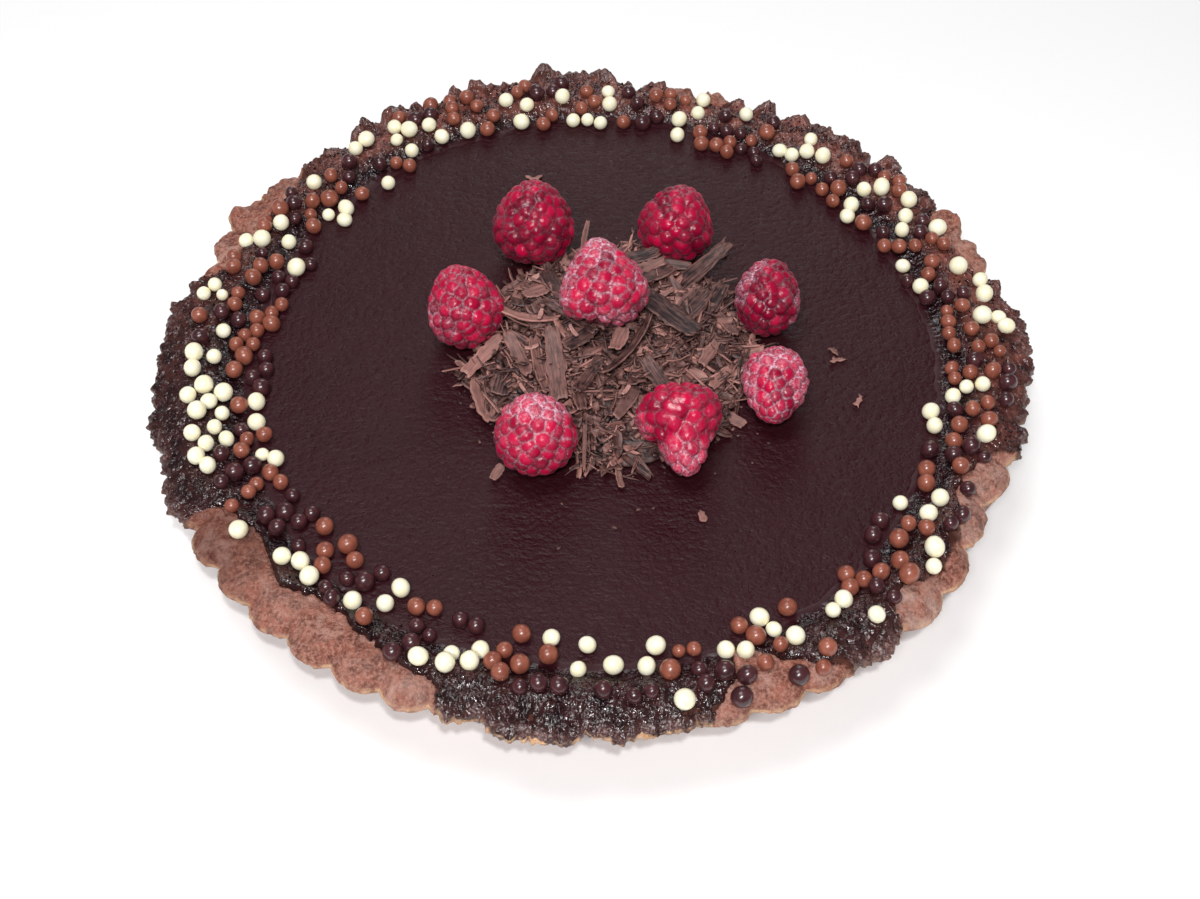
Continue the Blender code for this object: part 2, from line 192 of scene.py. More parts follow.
# Pearls: first and last angle, inner and outer radius, then how many white, milk and dark ones
PEARL_STRETCHES = (
    (183, 200, 98, 112, 14, 1, 0),
    (180, 201, 90, 111, 2, 9, 7),
    (201, 216, 91, 109, 4, 5, 8),
    (216, 240, 90, 104, 7, 7, 10),
    (240, 256, 92, 109, 5, 2, 6),
    (256, 272, 93, 110, 3, 6, 4),
    (272, 286, 96, 114, 6, 3, 4),
    (286, 300, 96, 115, 6, 7, 4),
    (300, 318, 97, 112, 3, 6, 3),
    (318, 335, 93, 110, 5, 5, 6),
    (335, 348, 93, 110, 3, 7, 5),
    (348, 362, 97, 114, 4, 10, 6),
    (2, 15, 96, 113, 5, 4, 5),
    (15, 30, 94, 111, 7, 7, 4),
    (30, 45, 94, 112, 7, 9, 6),
    (45, 60, 92, 110, 5, 5, 4),
    (60, 75, 94, 109, 7, 6, 5),
    (75, 95, 97, 111, 5, 7, 5),
    (95, 110, 98, 113, 4, 7, 3),
    (110, 125, 100, 116, 7, 7, 3),
    (125, 142, 93, 111, 4, 6, 3),
    (142, 155, 91, 111, 6, 7, 4),
    (155, 168, 89, 110, 3, 8, 6),
    (168, 180, 91, 112, 4, 8, 4),
)
PEARL_SIZE = 4.5
PEARL_KINDS = ("white", "milk", "dark")

random = np.random.default_rng(24)


# Small helpers

def mix(low, high, share):
    return low + (high - low) * share


def clamp(value, low=0.0, high=1.0):
    return np.clip(value, low, high)


def ease(value):
    """Rises smoothly from 0 to 1."""
    value = clamp(value)
    return value * value * (3 - 2 * value)


def lumps(points, size, seed=0):
    """Smooth noise from about -1 to 1, in lumps of so many millimetres."""
    shift = np.array((13.7, 5.1, 8.9)) * (seed + 1)
    places = np.reshape(points, (-1, 3)) / size + shift
    values = [noise.noise(place) for place in places.tolist()]
    return np.array(values).reshape(np.shape(points)[:-1])


def grains(points, size, seed=0):
    """Rounded grains of so many millimetres: near 1 on a grain's middle and near 0 between grains."""
    shift = np.array((3.1, 17.9, 6.3)) * (seed + 1)
    places = np.reshape(points, (-1, 3)) / size + shift
    values = [1 - noise.voronoi(place)[0][0] for place in places.tolist()]
    return np.array(values).reshape(np.shape(points)[:-1])


def spot(radius, angle, height=0.0):
    """Points at a radius and an angle about the tart's middle."""
    turn = np.radians(angle)
    radius, turn, height = np.broadcast_arrays(radius, turn, height)
    return np.stack((
        MIDDLE[0] + radius * np.cos(turn), MIDDLE[1] + radius * np.sin(turn), height.astype(float),
    ), axis=-1)


def way(heading, lift):
    """A unit vector along a heading, lifted from level."""
    turn, rise = math.radians(heading), math.radians(lift)
    return np.array((math.cos(turn) * math.cos(rise), math.sin(turn) * math.cos(rise), math.sin(rise)))


# The tart's outline and surfaces

def flute_lobe(angle):
    """0 where two flutes meet and 1 on the middle of a flute."""
    drift = np.interp(np.asarray(angle) % 360, *FLUTE_DRIFT)
    return np.abs(np.sin(np.radians((angle + drift - FIRST_FLUTE) * FLUTES / 2))) ** 0.7


def around(angle, place, width):
    """1 at a place on the rim, fading to 0 over a width in degrees."""
    return np.exp(-(((angle - place + 180) % 360 - 180) / width) ** 2)


def bare_depth(angle, radius):
    """How many millimetres outside the filling's border a place lies, below 0 where it is covered."""
    angle, radius = np.broadcast_arrays(np.asarray(angle) % 360, radius)
    depth = np.full(angle.shape, -9.0)
    for border in BARE_CRUST:
        places, radii = zip(*border)
        inside = (angle > places[0]) & (angle < places[-1])
        depth = np.where(inside, np.maximum(depth, radius - np.interp(angle, places, radii)), depth)
    return depth


def bareness(angle, radius):
    """0 where the filling covers the crust and 1 where it is bare, with a crumbly line between."""
    level = spot(radius, angle)
    ragged = 0.8 * lumps(level, 5.0, 1) + 0.9 * lumps(level, 2.6, 2) + 0.7 * lumps(level, 1.1, 3)
    strayed = angle + 0.45 * lumps(level, 3.4, 9) + 0.25 * lumps(level, 1.3, 14)
    return ease((bare_depth(strayed, radius) + ragged + 0.4) / 0.9)


def tooth(angle):
    """Height of the lumps and notches on the edge."""
    height = 0.0
    for place, rise, width in RIM_TEETH:
        height = height + rise * np.exp(-(((angle - place + 180) % 360 - 180) / width) ** 4)
    return height


def edge_radius(angle):
    """The rim's outer edge: clean flutes where the crust is bare and crumbs elsewhere."""
    radius = np.full(np.shape(angle), EDGE_RADIUS)
    for place, height, width in RIM_BULGES:
        radius += height * around(angle, place, width)
    bare = ease(bare_depth(angle, 118.0) / 2.0)
    for waves, height, phase in RIM_RIPPLES:
        radius += (1 - bare) * height * np.sin(np.radians(angle) * waves + phase)
    fluted = np.maximum(mix(0.4, 1.25, bare), 1.15 * around(angle, 276, 36))
    radius -= fluted * FLUTE_DEPTH * (1 - flute_lobe(angle))
    level = spot(radius, angle)
    torn = 1.2 * lumps(level, 4.2, 3) + 1.0 * lumps(level, 1.9, 4) + 1.5 * (grains(level, 2.0, 5) - 0.5)
    fine = 0.5 * lumps(level, 0.9, 6)
    return radius + mix(1.0, 0.16, bare) * torn + mix(1.0, 0.5, bare) * fine + 0.4 * tooth(angle)


def edge_lift(angle):
    """How far the edge stands above its usual height: torn up at the back, with lumps and notches."""
    level = spot(118.0, angle)
    back = np.exp(-(((angle - 90 + 180) % 360 - 180) / 78) ** 4)
    torn = 0.9 * lumps(level, 2.8, 60) + 0.7 * (grains(level, 1.7, 61) - 0.5) + 0.5 * lumps(level, 1.0, 62)
    return 1.5 * back + 0.75 * tooth(angle) + (0.25 + 0.75 * back) * torn


def near_edge(radius, edge):
    return ease((radius - edge + 5.5) / 4.8)


def ganache_radius(angle):
    turn = np.radians(angle)
    oval = GANACHE_RADIUS - GANACHE_OVAL * np.cos(2 * turn) + 0.6 * np.sin(5 * turn + 1.0)
    return oval + 1.1 * lumps(spot(oval, angle), 9.0, 6) + 0.7 * lumps(spot(oval, angle), 2.8, 74)


def bare_top(angle, radius, edge):
    """Height of bare crust, puffed up a little on every flute."""
    inner = edge - 12.0
    across = clamp((radius - inner) / (edge - inner))
    rise = CRUST_CROWN - (CRUST_CROWN - CRUST_INNER) * clamp((0.4 - across) / 0.4) ** 2
    fall = (CRUST_CROWN - CRUST_OUTER) * clamp((across - 0.4) / 0.6) ** 1.7
    valley = 1.3 * (1 - flute_lobe(angle)) * ease((radius - edge + 8) / 7)
    return rise - fall - valley + edge_lift(angle) * near_edge(radius, edge)


def brim_top(angle, radius, edge):
    """Height of the baked filling where it covers the crust."""
    pour = ganache_radius(angle)
    rise = ease((radius - pour) / (CREST_RADIUS - pour))
    fall = clamp((radius - CREST_RADIUS) / (edge - CREST_RADIUS)) ** 2
    slope = 0.5 * clamp((pour - radius) / 3.0) ** 2
    height = GANACHE_TOP + 0.05 + (CREST - GANACHE_TOP) * rise - (CREST - BRIM) * fall - slope
    return height + edge_lift(angle) * near_edge(radius, edge)


def toast(angle, radius, edge):
    """How brown the filling's brim is baked, most along the edge and on a few lumps."""
    level = spot(radius, angle)
    patch = -0.15
    for place, brown, width in TOASTED:
        patch = patch + brown * around(angle, place, width)
    ragged = 0.75 * lumps(level, 3.2, 70) + 0.5 * lumps(level, 1.2, 71)
    band = mix(5.5, 3.4, around(angle, 268, 22))
    return clamp((0.75 + patch + ragged) * ease((radius - edge + band) / (band - 0.5)))


def ruddy(angle, radius):
    """How much brown pastry crumb is baked into the brim, mostly round the back."""
    level = spot(radius, angle)
    back = np.exp(-(((angle - 68 + 180) % 360 - 180) / 92) ** 4)
    patches = 0.5 + 0.7 * lumps(level, 4.5, 72) + 0.45 * lumps(level, 1.5, 73)
    return clamp(patches * (0.12 + 0.88 * back)) * ease((radius - 101) / 6)


def crumbliness(angle, radius):
    """0 on and beside the ganache and 1 from a few millimetres outside it."""
    return ease((radius - ganache_radius(angle) + 0.6) / 3.2)


def crumb_relief(points, angle, radius):
    """Lumps and crumbs of the baked filling, fading away beside the ganache."""
    relief = 0.45 * lumps(points, 5.0, 21) + 0.34 * lumps(points, 2.4, 22)
    relief = relief + 0.6 * (grains(points, 1.6, 23) - 0.5) + 0.22 * lumps(points, 0.9, 24)
    return relief * crumbliness(angle, radius) * (0.8 + 0.8 * ease((radius - 108) / 7))


def cover(angle, radius, edge):
    """How thickly the filling lies on the crust. Below 0 the crust shows through in patches."""
    level = spot(radius, angle)
    patches = 1.0 * lumps(level, 7.0, 7) + 0.6 * lumps(level, 2.6, 8)
    outer = ease((radius - edge + 7) / 6)
    back = np.exp(-(((angle - 100 + 180) % 360 - 180) / 34) ** 2)
    left = np.exp(-(((angle - 186 + 180) % 360 - 180) / 20) ** 2)
    return 1.5 + patches - outer * (0.9 + 0.7 * back - 1.0 * left) + 1.5 * ease((112 - radius) / 6)


def crust_top(angle, radius, edge):
    bare = bareness(angle, radius)
    hidden = brim_top(angle, radius, edge) - cover(angle, radius, edge)
    return mix(hidden, bare_top(angle, radius, edge), bare)


def filling_top(angle, radius, edge):
    bare = bareness(angle, radius)
    sunk = bare_top(angle, radius, edge) - 1.4
    return mix(brim_top(angle, radius, edge), sunk, bare)


# Making meshes

def linked(rows, columns):
    """The four-sided faces between rows of points that run right round."""
    step = np.arange(columns)
    after = (step + 1) % columns
    base = np.arange(rows - 1)[:, None] * columns
    corners = (base + step, base + after, base + columns + after, base + columns + step)
    return np.stack(corners, axis=-1).reshape(-1, 4).tolist()


def ringed_mesh(name, rings, low, high):
    """A closed mesh through rings of points, from a bottom centre to a top centre."""
    count, columns = rings.shape[:2]
    points = np.concatenate((rings.reshape(-1, 3), [low, high]))
    faces = linked(count, columns)
    top = (count - 1) * columns
    for step in range(columns):
        after = (step + 1) % columns
        faces.append((len(points) - 2, after, step))
        faces.append((len(points) - 1, top + step, top + after))
    mesh = bpy.data.meshes.new(name)
    mesh.from_pydata((points * MM).tolist(), [], faces)
    return mesh


def mark(mesh, name, values):
    """Keeps a value for each point of the mesh, for its finish to read."""
    padded = np.zeros(len(mesh.vertices), np.float32)
    padded[:np.size(values)] = np.ravel(values)
    mesh.attributes.new(name, "FLOAT", "POINT").data.foreach_set("value", padded)


def show(name, mesh, finish, slot, *solids):
    """Adds a smooth piece that rides on the tart and stands for the named solids."""
    mesh.materials.append(finish)
    mesh.shade_smooth()
    piece = bpy.data.objects.new(name, mesh)
    bpy.context.scene.collection.objects.link(piece)
    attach(piece, "root")
    if solids:
        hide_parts(*solids)
    return piece


class Gathered:
    """Many small shapes joined into one mesh, each with a tone and its own grain direction."""

    def __init__(self):
        self.points = []
        self.faces = []
        self.tones = []
        self.strips = []
        self.count = 0

    def add(self, points, faces, tone, strip=None):
        self.faces += [[corner + self.count for corner in face] for face in faces]
        self.points.append(points)
        self.tones.append(np.full(len(points), tone))
        self.strips.append(points if strip is None else strip)
        self.count += len(points)

    def mesh(self, name):
        mesh = bpy.data.meshes.new(name)
        mesh.from_pydata((np.concatenate(self.points) * MM).tolist(), [], self.faces)
        mark(mesh, "tone", np.concatenate(self.tones))
        strip = mesh.attributes.new("strip", "FLOAT_VECTOR", "POINT")
        strip.data.foreach_set("vector", np.concatenate(self.strips).astype(np.float32).ravel())
        return mesh


# Finishes

def linear(colour):
    """An sRGB hex colour as linear red, green, blue and alpha."""
    parts = [int(colour[start:start + 2], 16) / 255 for start in (1, 3, 5)]
    return tuple(p / 12.92 if p <= 0.04045 else ((p + 0.055) / 1.055) ** 2.4 for p in parts) + (1.0,)


def per(size):
    """The scale at which a pattern's features are so many millimetres."""
    return 1 / (size * MM)


def add_node(tree, kind, settings=(), links=()):
    """Adds a node, sets its sockets and properties by name, and links sources into its sockets."""
    made = tree.nodes.new(kind)
    for name, value in dict(settings).items():
        if name in made.inputs:
            made.inputs[name].default_value = value
        else:
            setattr(made, name, value)
    for name, source in dict(links).items():
        tree.links.new(source, made.inputs[name])
    return made


def new_finish(name, settings):
    """A material with its own shader set, its node tree, its shader and its place in space."""
    made = bpy.data.materials.new(name)
    made.use_nodes = True
    tree = made.node_tree
    shader = tree.nodes["Principled BSDF"]
    for socket, value in settings.items():
        shader.inputs[socket].default_value = value
    place = add_node(tree, "ShaderNodeTexCoord").outputs["Object"]
    return made, tree, shader, place


def baked_cocoa_shortcrust():
    """Cocoa shortcrust pressed into a tin and baked: matt, mottled, with floury and scorched spots, a painted golden
    highlight along the edge and painted shade in the flute valleys and round the back.
    """
    made, tree, shader, place = new_finish("baked_cocoa_shortcrust", {
        "Roughness": 0.5, "IOR": 1.45, "Specular IOR Level": 0.27,
    })
    blotch = add_node(tree, "ShaderNodeTexNoise", {"Scale": per(4.2), "Detail": 6.0, "Roughness": 0.74},
                      {"Vector": place})
    crumb = add_node(tree, "ShaderNodeTexNoise", {"Scale": per(1.0), "Detail": 4.0, "Roughness": 0.75},
                     {"Vector": place})
    flour = add_node(tree, "ShaderNodeTexNoise",
                     {"Scale": per(8.0), "Detail": 6.0, "Roughness": 0.7, "Distortion": 0.6},
                     {"Vector": place})
    deep = add_node(tree, "ShaderNodeMapRange", {"From Min": 0.42, "From Max": 0.58},
                    {"Value": blotch.outputs["Fac"]})
    base = add_node(tree, "ShaderNodeMixRGB", {"Color1": linear("#643227"), "Color2": linear("#A1604F")},
                    {"Fac": deep.outputs["Result"]})
    grain = add_node(tree, "ShaderNodeMapRange",
                     {"From Min": 0.44, "From Max": 0.62, "To Min": 0.0, "To Max": 0.85},
                     {"Value": crumb.outputs["Fac"]})
    baked = add_node(tree, "ShaderNodeMixRGB", {"Color2": linear("#C08B7B")},
                     {"Fac": grain.outputs["Result"], "Color1": base.outputs["Color"]})
    dusted = add_node(tree, "ShaderNodeMapRange",
                      {"From Min": 0.50, "From Max": 0.64, "To Min": 0.0, "To Max": 0.85},
                      {"Value": flour.outputs["Fac"]})
    floury = add_node(tree, "ShaderNodeMixRGB", {"Color2": linear("#C4978A")},
                      {"Fac": dusted.outputs["Result"], "Color1": baked.outputs["Color"]})
    spot_size = add_node(tree, "ShaderNodeTexNoise", {"Scale": per(1.4), "Detail": 4.0, "Roughness": 0.6},
                         {"Vector": place})
    scorch = add_node(tree, "ShaderNodeMapRange",
                      {"From Min": 0.35, "From Max": 0.45, "To Min": 0.6, "To Max": 0.0},
                      {"Value": spot_size.outputs["Fac"]})
    specked = add_node(tree, "ShaderNodeMixRGB", {"Color2": linear("#5C3129")},
                       {"Fac": scorch.outputs["Result"], "Color1": floury.outputs["Color"]})
    dusty = add_node(tree, "ShaderNodeAttribute", {"attribute_name": "floury"})
    whiter = add_node(tree, "ShaderNodeMixRGB", {"Color2": linear("#D3B4A8")},
                      {"Fac": dusty.outputs["Fac"], "Color1": specked.outputs["Color"]})
    # Painted highlight: this mark lays a pale golden line along the lip's outer edge.
    pale = add_node(tree, "ShaderNodeAttribute", {"attribute_name": "pale"})
    glint_rimmed = add_node(tree, "ShaderNodeMixRGB", {"Color2": linear("#D9B08C")},
                      {"Fac": pale.outputs["Fac"], "Color1": whiter.outputs["Color"]})
    # This mark darkens the crust where the filling soaked in, and also carries painted shade in the wall's flute
    # valleys and round the back.
    soaked_and_shade = add_node(tree, "ShaderNodeAttribute", {"attribute_name": "soaked_and_shade"})
    stained_and_shaded = add_node(tree, "ShaderNodeMixRGB", {"Color2": linear("#421D15")},
                       {"Fac": soaked_and_shade.outputs["Fac"], "Color1": glint_rimmed.outputs["Color"]})
    tree.links.new(stained_and_shaded.outputs["Color"], shader.inputs["Base Color"])
    fine = add_node(tree, "ShaderNodeTexNoise", {"Scale": per(0.5), "Detail": 3.0, "Roughness": 0.6},
                    {"Vector": place})
    low = add_node(tree, "ShaderNodeBump", {"Strength": 0.6, "Distance": 0.25 * MM},
                   {"Height": fine.outputs["Fac"]})
    high = add_node(tree, "ShaderNodeBump", {"Strength": 0.8, "Distance": 0.6 * MM},
                    {"Height": crumb.outputs["Fac"], "Normal": low.outputs["Normal"]})
    tree.links.new(high.outputs["Normal"], shader.inputs["Normal"])
    return made


def baked_chocolate_filling():
    """Dark chocolate baked until it cracks: almost black, crumbly, wet, more brown on the brim, and with a painted
    golden highlight along its outer edge, mostly at the front.
    """
    made, tree, shader, place = new_finish("baked_chocolate_filling", {
        "IOR": 1.48, "Specular IOR Level": 0.56,
    })
    crumbly = add_node(tree, "ShaderNodeAttribute", {"attribute_name": "crumb"})
    toasted = add_node(tree, "ShaderNodeAttribute", {"attribute_name": "toasted"})
    patch = add_node(tree, "ShaderNodeTexNoise", {"Scale": per(4.0), "Detail": 5.0, "Roughness": 0.65},
                     {"Vector": place})
    brown = add_node(tree, "ShaderNodeMapRange", {"From Min": 0.42, "From Max": 0.66},
                     {"Value": patch.outputs["Fac"]})
    tint = add_node(tree, "ShaderNodeMixRGB", {"Color1": linear("#14060A"), "Color2": linear("#2F1218")},
                    {"Fac": brown.outputs["Result"]})
    ruddy_brown = add_node(tree, "ShaderNodeAttribute", {"attribute_name": "ruddy"})
    reddened = add_node(tree, "ShaderNodeMixRGB", {"Color2": linear("#824C42")},
                        {"Fac": ruddy_brown.outputs["Fac"], "Color1": tint.outputs["Color"]})
    blend = add_node(tree, "ShaderNodeMixRGB", {"Color1": linear(GANACHE_COLOUR)},
                     {"Fac": crumbly.outputs["Fac"], "Color2": reddened.outputs["Color"]})
    crumb = add_node(tree, "ShaderNodeTexNoise", {"Scale": per(0.5), "Detail": 3.0, "Roughness": 0.6},
                     {"Vector": place})
    mottle = add_node(tree, "ShaderNodeMapRange", {"From Min": 0.4, "From Max": 0.62},
                      {"Value": crumb.outputs["Fac"]})
    crust = add_node(tree, "ShaderNodeMixRGB", {"Color1": linear("#372022"), "Color2": linear("#7E5B55")},
                     {"Fac": mottle.outputs["Result"]})
    tone = add_node(tree, "ShaderNodeMixRGB", (),
                    {"Fac": toasted.outputs["Fac"], "Color1": blend.outputs["Color"],
                     "Color2": crust.outputs["Color"]})
    # Painted highlight: this mark lays a pale golden line along the filling's outer edge, mostly at the front.
    pale = add_node(tree, "ShaderNodeAttribute", {"attribute_name": "pale"})
    glint_rimmed = add_node(tree, "ShaderNodeMixRGB", {"Color2": linear("#D2A57C")},
                      {"Fac": pale.outputs["Fac"], "Color1": tone.outputs["Color"]})
    tree.links.new(glint_rimmed.outputs["Color"], shader.inputs["Base Color"])
    wet = add_node(tree, "ShaderNodeTexNoise", {"Scale": per(3.0), "Detail": 4.0}, {"Vector": place})
    damp = add_node(tree, "ShaderNodeMapRange",
                    {"From Min": 0.42, "From Max": 0.60, "To Min": 0.06, "To Max": 0.24},
                    {"Value": wet.outputs["Fac"]})
    smooth = add_node(tree, "ShaderNodeMapRange", {"To Min": 0.36},
                      {"Value": crumbly.outputs["Fac"], "To Max": damp.outputs["Result"]})
    dry = add_node(tree, "ShaderNodeMapRange", {"To Max": 0.4},
                   {"Value": toasted.outputs["Fac"], "To Min": smooth.outputs["Result"]})
    tree.links.new(dry.outputs["Result"], shader.inputs["Roughness"])
    low = add_node(tree, "ShaderNodeBump", {"Distance": 0.08 * MM},
                   {"Height": crumb.outputs["Fac"], "Strength": crumbly.outputs["Fac"]})
    clod = add_node(tree, "ShaderNodeTexNoise", {"Scale": per(1.3), "Detail": 1.0, "Roughness": 0.5},
                    {"Vector": place})
    high = add_node(tree, "ShaderNodeBump", {"Distance": 0.75 * MM},
                    {"Height": clod.outputs["Fac"], "Normal": low.outputs["Normal"],
                     "Strength": crumbly.outputs["Fac"]})
    tree.links.new(high.outputs["Normal"], shader.inputs["Normal"])
    return made


def poured_ganache():
    """Ganache poured and set in the cold: dark, softly glossy, with a fine leathery ripple."""
    made, tree, shader, place = new_finish("poured_ganache", {
        "IOR": 1.48, "Specular IOR Level": 0.24,
    })
    cloud = add_node(tree, "ShaderNodeTexNoise", {"Scale": per(22.0), "Detail": 4.0}, {"Vector": place})
    tone = add_node(tree, "ShaderNodeMixRGB",
                    {"Color1": linear("#290B11"), "Color2": linear(GANACHE_COLOUR)},
                    {"Fac": cloud.outputs["Fac"]})
    tree.links.new(tone.outputs["Color"], shader.inputs["Base Color"])
    drawn = add_node(tree, "ShaderNodeMapping", {"Scale": (0.8, 1.0, 1.0)}, {"Vector": place})
    ripple = add_node(tree, "ShaderNodeTexNoise", {"Scale": per(1.6), "Detail": 4.0, "Roughness": 0.6},
                      {"Vector": drawn.outputs["Vector"]})
    skin = add_node(tree, "ShaderNodeTexNoise", {"Scale": per(0.8), "Detail": 2.0}, {"Vector": place})
    dull = add_node(tree, "ShaderNodeMapRange", {"From Min": 0.35, "From Max": 0.65, "To Min": 0.26, "To Max": 0.48},
                    {"Value": ripple.outputs["Fac"]})
    tree.links.new(dull.outputs["Result"], shader.inputs["Roughness"])
    low = add_node(tree, "ShaderNodeBump", {"Strength": 0.7, "Distance": 0.16 * MM},
                   {"Height": skin.outputs["Fac"]})
    high = add_node(tree, "ShaderNodeBump", {"Strength": 1.0, "Distance": 0.55 * MM},
                    {"Height": ripple.outputs["Fac"], "Normal": low.outputs["Normal"]})
    tree.links.new(high.outputs["Normal"], shader.inputs["Normal"])
    return made


def tumbled_chocolate(name, light, dark, roughness):
    """Chocolate pearls tumbled smooth and polished: softly glossy, with faint cloudy marks."""
    made, tree, shader, place = new_finish(name, {
        "Roughness": roughness, "IOR": 1.46, "Coat Weight": 0.35, "Coat Roughness": 0.16,
    })
    cloud = add_node(tree, "ShaderNodeTexNoise", {"Scale": per(2.4), "Detail": 3.0}, {"Vector": place})
    shade = add_node(tree, "ShaderNodeMapRange", {"From Min": 0.35, "From Max": 0.65},
                     {"Value": cloud.outputs["Fac"]})
    tone = add_node(tree, "ShaderNodeMixRGB", {"Color1": linear(dark), "Color2": linear(light)},
                    {"Fac": shade.outputs["Result"]})
    tree.links.new(tone.outputs["Color"], shader.inputs["Base Color"])
    dimple = add_node(tree, "ShaderNodeBump", {"Strength": 0.3, "Distance": 0.15 * MM},
                      {"Height": cloud.outputs["Fac"]})
    tree.links.new(dimple.outputs["Normal"], shader.inputs["Normal"])
    return made


def frosted_raspberry():
    """Raspberries just thawed: crimson, juicy drupelets with a haze of frost, thicker in the grooves."""
    made, tree, shader, place = new_finish("frosted_raspberry", {
        "IOR": 1.4, "Specular IOR Level": 0.5, "Subsurface Weight": 0.12,
        "Subsurface Radius": (1.0, 0.2, 0.15), "Subsurface Scale": 2.0 * MM,
        "Sheen Weight": 0.12, "Sheen Roughness": 0.35, "Sheen Tint": linear("#F3BCD0"),
    })
    tone = add_node(tree, "ShaderNodeAttribute", {"attribute_name": "tone"})
    frost = add_node(tree, "ShaderNodeAttribute", {"attribute_name": "frost"})
    juicy = add_node(tree, "ShaderNodeMixRGB", {"Color1": linear("#5A011D"), "Color2": linear("#C80B43")},
                     {"Fac": tone.outputs["Fac"]})
    rime = add_node(tree, "ShaderNodeTexNoise", {"Scale": per(0.7), "Detail": 3.0, "Roughness": 0.7},
                    {"Vector": place})
    broken = add_node(tree, "ShaderNodeMapRange",
                      {"From Min": 0.40, "From Max": 0.60, "To Min": 0.12, "To Max": 1.30},
                      {"Value": rime.outputs["Fac"]})
    thick = add_node(tree, "ShaderNodeMath", {"operation": "MULTIPLY", "use_clamp": True})
    tree.links.new(frost.outputs["Fac"], thick.inputs[0])
    tree.links.new(broken.outputs["Result"], thick.inputs[1])
    skin = add_node(tree, "ShaderNodeMixRGB", {"Color2": linear("#E3B2C4")},
                    {"Fac": thick.outputs["Value"], "Color1": juicy.outputs["Color"]})
    tree.links.new(skin.outputs["Color"], shader.inputs["Base Color"])
    dull = add_node(tree, "ShaderNodeMapRange", {"To Min": 0.20, "To Max": 0.75},
                    {"Value": thick.outputs["Value"]})
    tree.links.new(dull.outputs["Result"], shader.inputs["Roughness"])
    rough = add_node(tree, "ShaderNodeBump", {"Strength": 0.4, "Distance": 0.25 * MM},
                     {"Height": rime.outputs["Fac"]})
    tree.links.new(rough.outputs["Normal"], shader.inputs["Normal"])
    return made


def shaved_chocolate(name, settings):
    """Chocolate scraped off a block: dull, with pale scrape marks along each flake, a few bloomed white."""
    made, tree, shader, place = new_finish(name, settings)
    tone = add_node(tree, "ShaderNodeAttribute", {"attribute_name": "tone"})
    strip = add_node(tree, "ShaderNodeAttribute", {"attribute_name": "strip"})
    drawn = add_node(tree, "ShaderNodeMapping", {"Scale": (0.08, 2.3, 2.3)},
                     {"Vector": strip.outputs["Vector"]})
    scrape = add_node(tree, "ShaderNodeTexNoise", {"Scale": 1.0, "Detail": 5.0, "Roughness": 0.65},
                      {"Vector": drawn.outputs["Vector"]})
    bloom = add_node(tree, "ShaderNodeTexNoise", {"Scale": per(2.5), "Detail": 3.0}, {"Vector": place})
    streak = add_node(tree, "ShaderNodeMapRange",
                      {"From Min": 0.35, "From Max": 0.65, "To Min": -0.16, "To Max": 0.26},
                      {"Value": scrape.outputs["Fac"]})
    cloudy = add_node(tree, "ShaderNodeMapRange", {"To Min": -0.25, "To Max": 0.25},
                      {"Value": bloom.outputs["Fac"]})
    streaked = add_node(tree, "ShaderNodeMath", {"operation": "ADD"})
    tree.links.new(tone.outputs["Fac"], streaked.inputs[0])
    tree.links.new(streak.outputs["Result"], streaked.inputs[1])
    clouded = add_node(tree, "ShaderNodeMath", {"operation": "ADD", "use_clamp": True})
    tree.links.new(streaked.outputs["Value"], clouded.inputs[0])
    tree.links.new(cloudy.outputs["Result"], clouded.inputs[1])
    colour = add_node(tree, "ShaderNodeMixRGB", {"Color1": linear("#1C0D11"), "Color2": linear("#AE7B72")},
                      {"Fac": clouded.outputs["Value"]})
    whitened = add_node(tree, "ShaderNodeMapRange", {"From Min": 1.15, "From Max": 2.1},
                        {"Value": tone.outputs["Fac"]})
    chalky = add_node(tree, "ShaderNodeMixRGB", {"Color2": linear("#CFC6C2")},
                      {"Fac": whitened.outputs["Result"], "Color1": colour.outputs["Color"]})
    tree.links.new(chalky.outputs["Color"], shader.inputs["Base Color"])
    ridge = add_node(tree, "ShaderNodeBump", {"Strength": 0.7, "Distance": 0.16 * MM},
                     {"Height": scrape.outputs["Fac"]})
    tree.links.new(ridge.outputs["Normal"], shader.inputs["Normal"])
    return made


# Pieces of the tart

